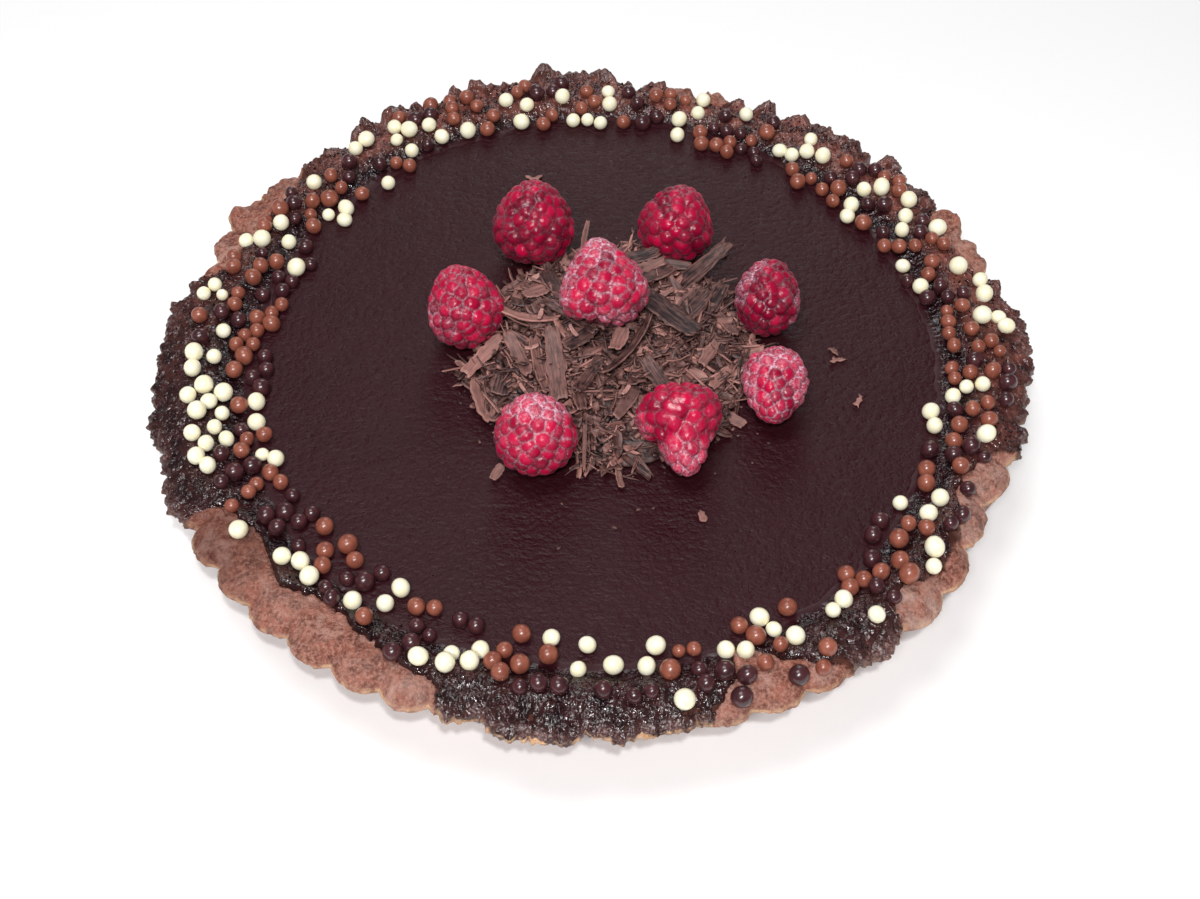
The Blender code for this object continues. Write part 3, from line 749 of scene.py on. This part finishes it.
def pastry_case():
    """The fluted cocoa pastry, from its base up the wall and round the lip to under the filling."""
    angle = np.arange(RIM_COLUMNS) * 360 / RIM_COLUMNS
    flute = WALL_FLUTE_DEPTH * flute_lobe(angle)
    steps = np.linspace(-2.5, 2.5, 7)
    bare = np.mean([ease(bare_depth(angle + step, 118.0) / 2.0) for step in steps], axis=0)
    full_edge = edge_radius(angle)
    edge = full_edge - mix(2.2, 0.0, bare)
    thick = mix(0.8, 0.65, bare)
    lift = edge_lift(angle)
    middle = mix(24.0, CRUST_OUTER - 1.0, bare) + lift
    wall = WALL_RADIUS + flute
    rows = [(BASE_RADIUS + flute - 1.0, 0.0, 180, 0.0, 0.0)]
    for share in np.linspace(0.02, 1, 19):
        radius = mix(BASE_RADIUS, WALL_RADIUS, share) + flute
        rows.append((radius, (LIP_UNDER + 0.5 * lift) * share, 90, 0.6, 0.0))
    for share in (0.25, 0.5, 0.75):
        height = mix(LIP_UNDER + 0.5 * lift, middle - thick, share)
        rows.append((mix(wall, edge - thick, share), height, 150, 1.0, 0.0))
    # The last value in each row is painted highlight: a pale golden line on the lip's outer edge.
    for turn in range(-80, 80, 20):
        radius = edge - thick + thick * math.cos(math.radians(turn))
        pale = 0.85 if -5 < turn < 65 else 0.15
        rows.append((radius, middle + thick * math.sin(math.radians(turn)), 90 - turn, 1.0, pale))
    lip = edge - thick
    for share in np.linspace(0, 1, 34):
        rows.append((mix(lip, 96.0, share ** 1.1), None, 0, 1.0, 0.3 * (share == 0)))
    rows.append((95.0, 5.0, 0, 0.0, 0.0))
    rings = []
    soaked_and_shade = []
    painted_glints = []
    floury = []
    for radius, height, lean, crumb, pale in rows:
        if height is None:
            height = crust_top(angle, np.asarray(radius), full_edge)
        ring = spot(radius, angle, height)
        relief = 0.34 * lumps(ring, 6.0, 10) + 0.26 * lumps(ring, 2.4, 11)
        relief = crumb * (relief + 0.16 * lumps(ring, 1.1, 12))
        lean = math.radians(lean)
        ring = spot(radius + relief * math.sin(lean), angle, height + relief * math.cos(lean))
        rings.append(ring)
        shows = bareness(angle, radius)
        # Painted shade: the crust round the back, near 95°, is kept darker, as the far side gets less light; near
        # 214° a darker patch.
        darker = 0.24 * around(angle, 95, 70) + 0.56 * around(angle, 214, 10)
        wet = clamp(1.0 - 1.15 * shows + 0.4 * lumps(ring, 3.0, 13), darker, 0.92)
        broken = 0.25 + 0.9 * lumps(ring, 2.4, 15) + 0.5 * lumps(ring, 0.9, 16)
        # Painted highlight, strongest in the cusps between flutes.
        painted_glints.append(pale * clamp(broken + 0.8 * (1 - flute_lobe(angle)) * bare))
        # Painted shade: the flute valleys on the wall below 23 mm are darkened, as shade in the creases.
        valley_shade = 0.10 + 0.30 * (1 - flute_lobe(angle)) * (ring[:, 2] < 23)
        wet = np.maximum(wet * ease((ring[:, 2] - 19.5) / 3), valley_shade)
        soaked_and_shade.append(wet * (1 - 0.8 * painted_glints[-1]))
        dusty = 0.0
        for place, dust, width in FLOURED:
            dusty = dusty + dust * around(angle, place, width)
        dusty = dusty * (0.6 + 0.9 * lumps(ring, 4.0, 17) + 0.6 * lumps(ring * (1, 1, 0), 1.2, 18))
        floury.append(clamp(dusty))
    mesh = ringed_mesh("pastry_case_detail", np.array(rings), (*MIDDLE, 0.0), (*MIDDLE, 5.0))
    mark(mesh, "soaked_and_shade", np.array(soaked_and_shade))
    mark(mesh, "pale", np.array(painted_glints))
    mark(mesh, "floury", np.array(floury))
    show("pastry_case_detail", mesh, baked_cocoa_shortcrust(), "cocoa_pastry", "pastry_case")


def baked_filling(finish):
    """The filling that has risen over the lip, crumbly and cracked, with a ragged brim."""
    angle = np.arange(RIM_COLUMNS) * 360 / RIM_COLUMNS
    full_edge = edge_radius(angle)
    bare = bareness(angle, full_edge - 1.5)
    front = around(angle, 268, 20)
    steps = np.linspace(-3.5, 3.5, 9)
    taper = np.mean([bareness(angle + step, full_edge - 1.5) for step in steps], axis=0)
    edge = full_edge - 0.3 + 0.6 * front - 1.6 * taper - 4.0 * bare
    drip = 0.8 * lumps(spot(edge, angle), 4.5, 20) + 0.5 * lumps(spot(edge, angle), 1.6, 29)
    thick = np.maximum(1.0 + 0.6 * drip, 0.45) * (1 - 0.7 * taper)
    middle = mix(25.7, 24.8, bare) + 0.4 * drip + edge_lift(angle)
    rows = [
        (94.0, 5.5, 180, 0.0),
        (100.0, 22.0, 90, 0.0),
        (edge - 5.0, middle - thick + 0.4, 180, 0.3),
        (edge - 3.0, middle - thick, 180, 0.8),
        (edge - 1.8, middle - thick, 180, 1.0),
    ]
    for turn in range(-75, 60, 19):
        radius = edge - thick + thick * math.cos(math.radians(turn))
        rows.append((radius, middle + thick * math.sin(math.radians(turn)), 90 - turn, 1.0))
    lip = edge - 0.5 * thick
    inner = ganache_radius(angle) - 3.0
    for share in np.linspace(0, 1, 50):
        rows.append((mix(lip, inner, share), None, 0, 1.0))
    rings = []
    crumbs = []
    browned = []
    painted_glints = []
    reds = []
    for radius, height, lean, crumb in rows:
        if height is None:
            height = filling_top(angle, radius, full_edge)
        ring = spot(radius, angle, height)
        relief = crumb_relief(ring, angle, radius) * crumb
        lean = math.radians(lean)
        rings.append(spot(radius + relief * math.sin(lean), angle, height + relief * math.cos(lean)))
        crumbs.append(np.broadcast_to(crumbliness(angle, radius), angle.shape))
        reds.append(ruddy(angle, np.broadcast_to(radius, angle.shape)))
        browned.append(toast(angle, radius, full_edge))
        # Painted highlight: a pale golden line along the outer edge, mostly at the front.
        rim = ease((radius - edge + 0.9) / 0.5) * (height < middle + 0.8)
        broken = clamp(0.45 + 1.5 * lumps(ring, 1.8, 26) + 0.9 * lumps(ring, 0.7, 27))
        painted_glints.append(rim * broken * (0.12 + 0.88 * front))
    mesh = ringed_mesh("baked_filling_detail", np.array(rings), (*MIDDLE, 5.5), (*MIDDLE, 24.0))
    mark(mesh, "crumb", np.array(crumbs))
    mark(mesh, "toasted", np.array(browned))
    mark(mesh, "pale", np.array(painted_glints))
    mark(mesh, "ruddy", np.array(reds))
    show("baked_filling_detail", mesh, finish, "baked_chocolate", "baked_filling")


def filling_grains(finish):
    """Loose wet crumbs on the filling, and a few specks and drops on the ganache."""
    ball = bmesh.new()
    bmesh.ops.create_icosphere(ball, subdivisions=1, radius=0.5)
    round_crumb = np.array([vert.co for vert in ball.verts])
    faces = [[vert.index for vert in face.verts] for face in ball.faces]
    ball.free()
    angle = np.concatenate((random.uniform(0, 360, 2600), random.uniform(0, 360, 150)))
    radius = np.concatenate((random.triangular(98, 114, 121, 2600), np.sqrt(random.uniform(0, 1, 150)) * 97))
    places = spot(radius, angle)
    ground = surface_height(places[:, 0], places[:, 1])
    hidden = (bareness(angle, radius) > 0.3) | (radius > edge_radius(angle) - 1.5)
    crumbs = Gathered()
    for place, height, covered, reach in zip(places, ground, hidden, radius):
        size = random.uniform(0.3, 0.95) if reach > 98 else random.uniform(0.2, 0.5)
        stretch = size * (1 + random.uniform(-0.3, 0.3, 3))
        turn = Euler(random.uniform(0, 6.3, 3)).to_matrix()
        shape = round_crumb * stretch @ np.array(turn).T
        if covered or (reach < 42):
            continue
        crumbs.add(shape + (place[0], place[1], height + 0.12 * size), faces, 1.0)
    mesh = crumbs.mesh("filling_grains")
    mark(mesh, "crumb", np.ones(len(mesh.vertices)))
    show("filling_grains", mesh, finish, "baked_chocolate")


def ganache_top():
    """The poured top: level, with a faint ripple, a few pits and a soft edge against the filling."""
    columns = 480
    angle = np.arange(columns) * 360 / columns
    edge = ganache_radius(angle) + 0.8
    rows = [(edge, 24.0), (edge + 0.2, 25.6), (edge, 26.4), (edge - 0.8, 26.8)]
    rows += [(edge * share, GANACHE_TOP) for share in np.linspace(0.984, 0.01, 100)]
    rings = []
    for radius, height in rows:
        ring = spot(radius, angle, height)
        ripple = 0.13 * lumps(ring * (0.7, 1.0, 1.0), 4.2, 30) + 0.18 * lumps(ring, 17.0, 31)
        pits = clamp(grains(ring, 7.0, 32) - 0.88) * 3.0
        ring[:, 2] += (ripple - pits) * (ring[:, 2] > 26.7)
        rings.append(ring)
    mesh = ringed_mesh("ganache_top_detail", np.array(rings), (*MIDDLE, 24.0), (*MIDDLE, GANACHE_TOP))
    show("ganache_top_detail", mesh, poured_ganache(), "ganache", "ganache_top")


# Raspberries

def egg_radius(along, taper):
    return np.sqrt(clamp(1 - along ** 2)) * (1 - taper * clamp(0.5 + 0.5 * along) ** 1.5)


def turned(points, heading, lift, roll=0.0):
    """Points whose +Z axis is turned to a heading and lifted from level."""
    turn = Euler((0.0, 0.0, math.radians(roll))).to_matrix()
    tilt = Euler((0.0, math.radians(90 - lift), math.radians(heading))).to_matrix()
    return points @ np.array(tilt @ turn).T


def egg_point(along, turn, number):
    width, length, _, _, taper = BERRIES[number - 1][:5]
    fullest = egg_radius(np.linspace(-1, 1, 99), taper).max()
    radius = egg_radius(along, taper) / fullest * (width / 2 - 0.25)
    reach = along * (length / 2 - 0.25)
    if number == TAIL_BERRY:
        reach = reach + TAIL_LENGTH * clamp((along - 0.5) * 2)
    return np.stack((radius * np.cos(turn), radius * np.sin(turn), reach), axis=-1)


def raspberry(number, finish):
    """A raspberry of close-packed drupelets, each a low dome, with frost in between and in patches."""
    width, length, heading, lift, _, ripe, rime, patches, rubbed, dents = BERRIES[number - 1]
    along = -np.cos(np.linspace(0, np.pi, BERRY_ROWS + 2)[1:-1])[:, None]
    turn = np.arange(BERRY_COLUMNS)[None, :] * 2 * np.pi / BERRY_COLUMNS
    along, turn = np.broadcast_arrays(along, turn)
    skin = egg_point(along, turn, number)
    out = skin / (width ** 2, width ** 2, length ** 2)
    out = out / np.linalg.norm(out, axis=-1, keepdims=True)
    area = math.pi * width * length * 0.92
    count = int(area / (DRUPELET ** 2 * 0.87))
    step = np.arange(count)
    seed_along = 1 - 2 * (step + 0.5) / count
    seed_turn = step * math.pi * (3 - math.sqrt(5)) + random.normal(0, 0.08, count)
    seeds = egg_point(seed_along, seed_turn, number) + random.normal(0, 0.32, (count, 3))
    away = np.linalg.norm(skin.reshape(-1, 1, 3) - seeds[None], axis=-1)
    nearest = np.argsort(away, axis=1)[:, :2]
    first = np.take_along_axis(away, nearest[:, :1], 1)[:, 0].reshape(along.shape)
    second = np.take_along_axis(away, nearest[:, 1:], 1)[:, 0].reshape(along.shape)
    dome = DRUPELET * 0.62
    swell = 0.72 * (np.sqrt(clamp(dome ** 2 - first ** 2, (0.3 * dome) ** 2, dome ** 2)) - 0.78 * dome)
    groove = 1 - ease((second - first) / (0.5 + 0.55 * rime))
    facing = turned(out, heading, lift)

    def patch(patch_heading, patch_lift, reach, soft):
        ragged = 0.5 * lumps(skin, 2.5, 41 + number) + 0.35 * lumps(skin, 1.0, 42)
        return ease((facing @ way(patch_heading, patch_lift) - 1 + reach) / soft + ragged)

    worn = np.zeros(along.shape)
    for place in rubbed:
        worn = np.maximum(worn, 0.75 * patch(*place, 0.16))
    swell = mix(swell, 0.2 + 0.12 * lumps(skin, 2.4, number), worn)
    push = swell + 0.05 * lumps(skin, 0.8, 40) + 0.55 * lumps(skin, 8.0, 44 + number)
    crust = np.zeros(along.shape)
    for place in patches:
        crust = np.maximum(crust, patch(*place, 0.26))
    push = push + 0.25 * crust * clamp(0.5 + lumps(skin, 0.9, 45))
    for dent_heading, dent_lift, depth, breadth in dents:
        push = push - depth * np.exp(-(1 - facing @ way(dent_heading, dent_lift)) / breadth)
    skin = skin + out * push[..., None]
    uneven = clamp(0.75 + 0.7 * lumps(skin, 3.2, 46 + number), 0.15, 1.3)
    frost = rime * groove * uneven * (1 - 0.8 * worn)
    haze = 0.13 * rime * clamp(0.4 + 1.4 * lumps(skin, 2.2, 47))
    frost = clamp(frost + 0.08 * lumps(skin, 5.0, 43) + haze + crust * (0.26 + 0.6 * groove))
    tones = clamp(random.normal(0.55 + ripe, 0.2, count))[nearest[:, 0]].reshape(along.shape)
    # Painted light: each drupelet is lighter towards its middle, as a painted highlight, and darker in the grooves,
    # as painted shade.
    tones = mix(tones, clamp(0.8 + ripe), worn) + 0.25 * clamp(1 - first / dome)
    tones = clamp(tones - 0.45 * groove * (1 - worn))
    solid = turned(skin, heading, lift)
    low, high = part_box(f"raspberry_{number}")
    middle = np.array((low + high) / 2) / MM
    flat = solid.reshape(-1, 3)
    own_low, own_high = flat.min(axis=0), flat.max(axis=0)
    fitted = np.array(high - low) / MM / (own_high - own_low)
    solid = (solid - (own_low + own_high) / 2) * fitted + middle
    ends = solid[0].mean(axis=0), solid[-1].mean(axis=0)
    mesh = ringed_mesh(f"raspberry_{number}_detail", solid, *ends)
    mark(mesh, "frost", frost)
    mark(mesh, "tone", tones)
    show(f"raspberry_{number}_detail", mesh, finish, "raspberry", f"raspberry_{number}")


# Shavings

def heap_outline(turn):
    radius = HEAP_RADIUS
    for waves, height, phase in HEAP_LOBES:
        radius = radius + height * np.cos(turn * waves - phase)
    return radius


def heap_height(x, y):
    """Height of the heap's outline over a place, or of the ganache beside it."""
    across, up = x - HEAP_PLACE[0], y - HEAP_PLACE[1]
    share = np.hypot(across, up) / heap_outline(np.arctan2(up, across))
    dome = HEAP_FOOT + HEAP_HEIGHT * clamp(1 - share ** 2) ** 0.8
    return GANACHE_TOP + dome * (share < 1)


def in_berry(x, y, spare=0.0):
    """Whether a place lies under a raspberry."""
    for number in range(1, len(BERRIES) + 1):
        low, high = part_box(f"raspberry_{number}")
        middle = (low + high) / 2 / MM
        half = (high - low) / 2 / MM
        if ((x - middle.x) / (half.x + spare)) ** 2 + ((y - middle.y) / (half.y + spare)) ** 2 < 1:
            return True
    return False


def heap_core():
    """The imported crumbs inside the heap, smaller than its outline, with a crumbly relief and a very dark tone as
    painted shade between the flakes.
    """
    columns = 260
    turn = np.arange(columns) * 2 * np.pi / columns
    outline = heap_outline(turn)
    rings = []
    for share in np.concatenate(([0.95, 0.955], np.linspace(0.93, 0.02, 84))):
        x = HEAP_PLACE[0] + outline * share * np.cos(turn)
        y = HEAP_PLACE[1] + outline * share * np.sin(turn)
        ring = np.stack((x, y, np.full(columns, GANACHE_TOP)), axis=-1)
        height = heap_height(x, y) - CORE_DROP - GANACHE_TOP
        relief = 1.1 * lumps(ring, 4.0, 50) + 1.0 * (grains(ring, 2.2, 51) - 0.5)
        ring[:, 2] += np.maximum(height + relief + 0.4 * lumps(ring, 1.0, 52), 0.1) * (share < 0.952)
        rings.append(ring)
    top = (*HEAP_PLACE, GANACHE_TOP + HEAP_FOOT + HEAP_HEIGHT - CORE_DROP)
    mesh = ringed_mesh("shavings_core", np.array(rings), (*HEAP_PLACE, GANACHE_TOP), top)
    points = np.concatenate((np.array(rings).reshape(-1, 3), [(*HEAP_PLACE, GANACHE_TOP), top]))
    # Painted shade: the core's tone is kept very dark, so the gaps between the flakes read as shadow.
    mark(mesh, "tone", 0.2 * grains(points, 1.6, 53))
    strip = mesh.attributes.new("strip", "FLOAT_VECTOR", "POINT")
    strip.data.foreach_set("vector", (points * 0.7).astype(np.float32).ravel())
    return mesh


def flake(length, width, thickness, bend, curl, ragged, steps, across, pointed=0.0):
    """A shaved strip: bent along its length, curled across its width, torn or pointed at the ends."""
    along = np.linspace(-0.5, 0.5, steps)[:, None]
    side = np.linspace(-0.5, 0.5, across)[None, :]
    shake = random.uniform(-1, 1, (steps, 1)) * ragged
    tear = random.uniform(-1, 1, (1, across)) * ragged
    reach = along * length * (1 + tear * 0.5 * np.abs(along) * 2) + 0.0 * side
    spread = side * width * (1 + shake - pointed * (2 * np.abs(along)) ** 2) + 0.0 * along
    swing = math.radians(bend) * along
    x = reach * np.cos(swing * 0.5)
    lift = reach * np.sin(swing * 0.5) + math.radians(curl) * 0.5 * spread ** 2 / width
    lift = lift + random.uniform(-1, 1, (steps, across)) * 0.12 * ragged
    top = np.stack((x, spread, lift + thickness / 2), axis=-1).reshape(-1, 3)
    bottom = np.stack((x, spread, lift - thickness / 2), axis=-1).reshape(-1, 3)
    points = np.concatenate((top, bottom))
    count = steps * across
    faces = []
    for row in range(steps - 1):
        for column in range(across - 1):
            a = row * across + column
            b = a + across
            faces.append([a, b, b + 1, a + 1])
            faces.append([count + a, count + a + 1, count + b + 1, count + b])
    rim = [column for column in range(across)]
    rim += [row * across + across - 1 for row in range(1, steps)]
    rim += [(steps - 1) * across + column for column in range(across - 2, -1, -1)]
    rim += [row * across for row in range(steps - 2, 0, -1)]
    for here, there in zip(rim, rim[1:] + rim[:1]):
        faces.append([here, there, count + there, count + here])
    pale = np.zeros(2 * count)
    pale[rim] = random.uniform(0, 1, len(rim))
    return points, faces, pale


def lay(points, x, y, height, heading, slope, lean):
    """Turns a flake about its own length and slope and sets it down at a place."""
    turn = Euler((math.radians(lean), math.radians(-slope), math.radians(heading))).to_matrix()
    return points @ np.array(turn).T + (x, y, height)


def shavings(finish):
    """Planks and curls, small flakes, slivers and crumbs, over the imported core."""
    show("shavings_core", heap_core(), finish, "shavings", "shavings_heap")
    planks = Gathered()
    for x, y, over, length, width, heading, slope, lean, bend, tone in PLANKS:
        points, faces, pale = flake(length, width, 0.6, bend, 30, 0.16, 15, 7, 0.3)
        strip = points + random.uniform(0, 90, 3)
        height = float(heap_height(x, y)) + over
        planks.add(lay(points, x, y, height, heading, slope, lean), faces, 0.8 * tone + 0.4 * pale, strip)
    show("shavings_planks", planks.mesh("shavings_planks"), finish, "shavings", "shavings_heap")
    flakes = Gathered()
    crumbs = Gathered()
    made = 0
    while made < 1200:
        share, turn = math.sqrt(random.uniform(0, 1.06)), random.uniform(0, 2 * math.pi)
        x = HEAP_PLACE[0] + share * heap_outline(turn) * math.cos(turn)
        y = HEAP_PLACE[1] + share * heap_outline(turn) * math.sin(turn)
        if in_berry(x, y, -1.0):
            continue
        made += 1
        sliver = random.uniform() < 0.62
        length = random.uniform(5, 13) if sliver else random.uniform(4, 10)
        width = random.uniform(0.4, 0.95) if sliver else random.uniform(1.2, 3.0)
        points, faces, pale = flake(length, width, random.uniform(0.2, 0.5), random.uniform(-50, 90),
                                    random.uniform(0, 90), 0.3, 6, 3, random.uniform(0.2, 0.8))
        height = float(heap_height(x, y)) + random.uniform(-1.2, 0.7)
        slope = random.normal(0, 14) + 12 * (share > 0.8)
        placed = lay(points, x, y, height, random.uniform(0, 360), slope, random.normal(0, 28))
        placed[:, 2] += max(0.0, GANACHE_TOP + 0.05 - placed[:, 2].min())
        tone = random.uniform(0.3, 0.85) if random.uniform() < 0.3 else random.uniform(0.0, 0.16)
        tone = tone + 0.4 * pale
        flakes.add(placed, faces, tone, points + random.uniform(0, 90, 3))
    show("shavings_flakes", flakes.mesh("shavings_flakes"), finish, "shavings", "shavings_heap")
    block, block_faces, _ = flake(1.0, 1.0, 1.0, 0, 0, 0.0, 2, 2)
    for _ in range(800):
        share, turn = random.uniform(0, 1) ** 0.6, random.uniform(0, 2 * math.pi)
        if random.uniform() < 0.11:
            share = 1 + random.exponential(0.12)
        x = HEAP_PLACE[0] + share * heap_outline(turn) * math.cos(turn)
        y = HEAP_PLACE[1] + share * heap_outline(turn) * math.sin(turn)
        size = random.uniform(0.5, 1.7) if share < 1 else random.uniform(0.3, 0.9)
        if math.hypot(x, y) > 88:
            continue
        shape = block * (1 + random.uniform(-0.35, 0.35, block.shape)) * (size * 1.5, size, size * 0.6)
        height = float(heap_height(x, y)) + (0.25 * size if share > 1 else random.uniform(-0.3, 0.8))
        tilt = random.uniform(-40, 40, 2) * (share < 1)
        placed = lay(shape, x, y, height, random.uniform(0, 360), *tilt)
        tone = clamp(random.normal(0.24 if share < 1 else 0.12, 0.2))
        crumbs.add(placed, block_faces, tone, shape + random.uniform(0, 90, 3))
    for _ in range(STRAYS):
        x, y, _ = spot(random.uniform(*STRAY_REACH), random.uniform(0, 360))
        points, faces, pale = flake(random.uniform(2.4, 5.0), random.uniform(1.2, 1.8), 0.5, 20, 20, 0.7, 6, 4)
        placed = lay(points, x, y, GANACHE_TOP + 0.5, random.uniform(0, 360), 2, 3)
        crumbs.add(placed, faces, random.uniform(0.1, 0.7) + 0.3 * pale, points + random.uniform(0, 90, 3))
    show("shavings_crumbs", crumbs.mesh("shavings_crumbs"), finish, "shavings")


# Pearls

def surface_height(x, y):
    """Height of whatever lies uppermost at a place on the tart's top."""
    radius = np.hypot(x - MIDDLE[0], y - MIDDLE[1])
    angle = np.degrees(np.arctan2(y - MIDDLE[1], x - MIDDLE[0])) % 360
    edge = edge_radius(angle)
    filled = filling_top(angle, radius, edge)
    filled = filled + crumb_relief(spot(radius, angle, filled), angle, radius)
    top = np.maximum(crust_top(angle, radius, edge), filled)
    return np.where(radius < ganache_radius(angle), GANACHE_TOP, top)


def runs(counts):
    """Kinds of pearl in short runs of one kind, in a shuffled order."""
    left = dict(zip(PEARL_KINDS, counts))
    order = []
    while any(left.values()):
        kinds = [kind for kind in PEARL_KINDS if left[kind]]
        if len(kinds) > 1 and order:
            kinds = [kind for kind in kinds if kind != order[-1][0]]
        weights = np.array([left[kind] for kind in kinds], float)
        kind = kinds[random.choice(len(kinds), p=weights / weights.sum())]
        length = min(left[kind], int(random.choice((1, 1, 1, 2, 2, 3))))
        order.append((kind, length))
        left[kind] -= length
    return order


def pearls():
    """Three kinds of chocolate pearls, strewn singly and in short touching runs round the edge."""
    ball = bmesh.new()
    bmesh.ops.create_uvsphere(ball, u_segments=18, v_segments=12, radius=1.0)
    sphere = np.array([vert.co for vert in ball.verts])
    faces = [[vert.index for vert in face.verts] for face in ball.faces]
    ball.free()
    kinds = {kind: Gathered() for kind in PEARL_KINDS}
    laid = []

    def room(x, y, size):
        gap = [math.hypot(x - px, y - py) - 0.46 * (size + psize) for px, py, psize, _ in laid]
        return min(gap, default=9.0)

    for first, last, inner, outer, *counts in PEARL_STRETCHES:
        for kind, length in runs(counts):
            recent = None
            for _ in range(length):
                size = clamp(random.normal(PEARL_SIZE, 0.38), 3.5, 5.4)
                best = None
                for _ in range(14):
                    if recent is None:
                        angle = random.uniform(first, last)
                        x, y, _ = spot(random.uniform(inner, outer), angle)
                    else:
                        turn = random.uniform(0, 2 * math.pi)
                        reach = (size + recent[2]) / 2 * random.uniform(0.96, 1.05)
                        x = recent[0] + reach * math.cos(turn)
                        y = recent[1] + reach * math.sin(turn)
                    reach = math.hypot(x - MIDDLE[0], y - MIDDLE[1])
                    free = room(x, y, size)
                    if free > 0 and inner - 1 < reach < outer + 2 and (best is None or free > best[0]):
                        best = (free, x, y)
                if best is None:
                    continue
                recent = (best[1], best[2], size, kind)
                laid.append(recent)
    places = np.array([pearl[:2] for pearl in laid])
    ground = surface_height(places[:, 0], places[:, 1])
    for (x, y, size, kind), height in zip(laid, ground):
        shape = sphere * size / 2 * (1 + random.uniform(-0.07, 0.07, 3))
        shape = shape * (1 + 0.03 * lumps(shape, 3.0, int(x)))[:, None]
        shape = turned(shape, random.uniform(0, 360), random.uniform(0, 90))
        sink = random.uniform(0.2, 0.8) + (0.5 if kind == "dark" else 0.0)
        kinds[kind].add(shape + (x, y, height + size / 2 - sink), faces, random.uniform())
    looks = {
        "white": tumbled_chocolate("tumbled_white_chocolate", "#FFFBE3", "#FBF1CB", 0.38),
        "milk": tumbled_chocolate("tumbled_milk_chocolate", "#9A5846", "#7F4435", 0.34),
        "dark": tumbled_chocolate("tumbled_dark_chocolate", "#4C262A", "#36191E", 0.28),
    }
    for kind, gathered in kinds.items():
        name = f"{kind}_pearls"
        show(name, gathered.mesh(name), looks[kind], f"{kind}_pearl")


# Setting

CAMERA_AIM = Vector((1.24, -12.2, 0.0)) * MM
CAMERA_LIFT = 50.8
CAMERA_DISTANCE = 480.5 * MM
CAMERA_LENS = 50.64


def floor():
    """A plain pale floor."""
    mesh = bpy.data.meshes.new("floor")
    far = 3.0
    mesh.from_pydata([(-far, -far, 0), (far, -far, 0), (far, far, 0), (-far, far, 0)], [], [(0, 1, 2, 3)])
    painted, _, _, _ = new_finish("matt_white_board", {"Base Color": linear("#FDFDFD"), "Roughness": 0.9})
    mesh.materials.append(painted)
    board = bpy.data.objects.new("floor", mesh)
    board.location.z = -0.0002
    bpy.context.scene.collection.objects.link(board)


def camera():
    lens = bpy.data.cameras.new("camera")
    lens.lens = CAMERA_LENS
    lens.sensor_width = 36.0
    lens.clip_start = 0.01
    viewer = bpy.data.objects.new("camera", lens)
    viewer.location = CAMERA_AIM + CAMERA_DISTANCE * Vector(way(-90, CAMERA_LIFT))
    viewer.rotation_euler = (CAMERA_AIM - viewer.location).to_track_quat("-Z", "Y").to_euler()
    bpy.context.scene.collection.objects.link(viewer)
    bpy.context.scene.camera = viewer


def lamp(name, place, size, power, aim=(0.0, 0.0, 0.02)):
    light = bpy.data.lights.new(name, "AREA")
    light.shape = "DISK"
    light.size = size
    light.energy = power
    made = bpy.data.objects.new(name, light)
    made.location = place
    made.rotation_euler = (Vector(aim) - Vector(place)).to_track_quat("-Z", "Y").to_euler()
    bpy.context.scene.collection.objects.link(made)


def studio():
    """Soft light from above and behind, with a small lamp over the viewer for the glints."""
    lamp("soft_front", (-0.18, -0.85, 1.10), 0.24, 9.8)
    lamp("soft_overhead", (-0.25, 0.05, 1.25), 0.60, 5.6)
    lamp("low_back", (0.10, 1.50, 0.88), 0.8, 4.0)
    lamp("small_front", (0.03, -0.40, 0.62), 0.03, 1.8)
    world = bpy.data.worlds.new("studio")
    world.use_nodes = True
    world.node_tree.nodes["Background"].inputs["Color"].default_value = (1.0, 1.0, 1.0, 1.0)
    world.node_tree.nodes["Background"].inputs["Strength"].default_value = 0.14
    bpy.context.scene.world = world
    bpy.context.scene.view_settings.view_transform = "Standard"


floor()
camera()
studio()
pastry_case()
filling_finish = baked_chocolate_filling()
baked_filling(filling_finish)
filling_grains(filling_finish)
ganache_top()
raspberry_finish = frosted_raspberry()
for berry_number in range(1, len(BERRIES) + 1):
    raspberry(berry_number, raspberry_finish)
shavings(shaved_chocolate("shaved_dark_chocolate", {"Roughness": 0.5, "IOR": 1.46}))
pearls()
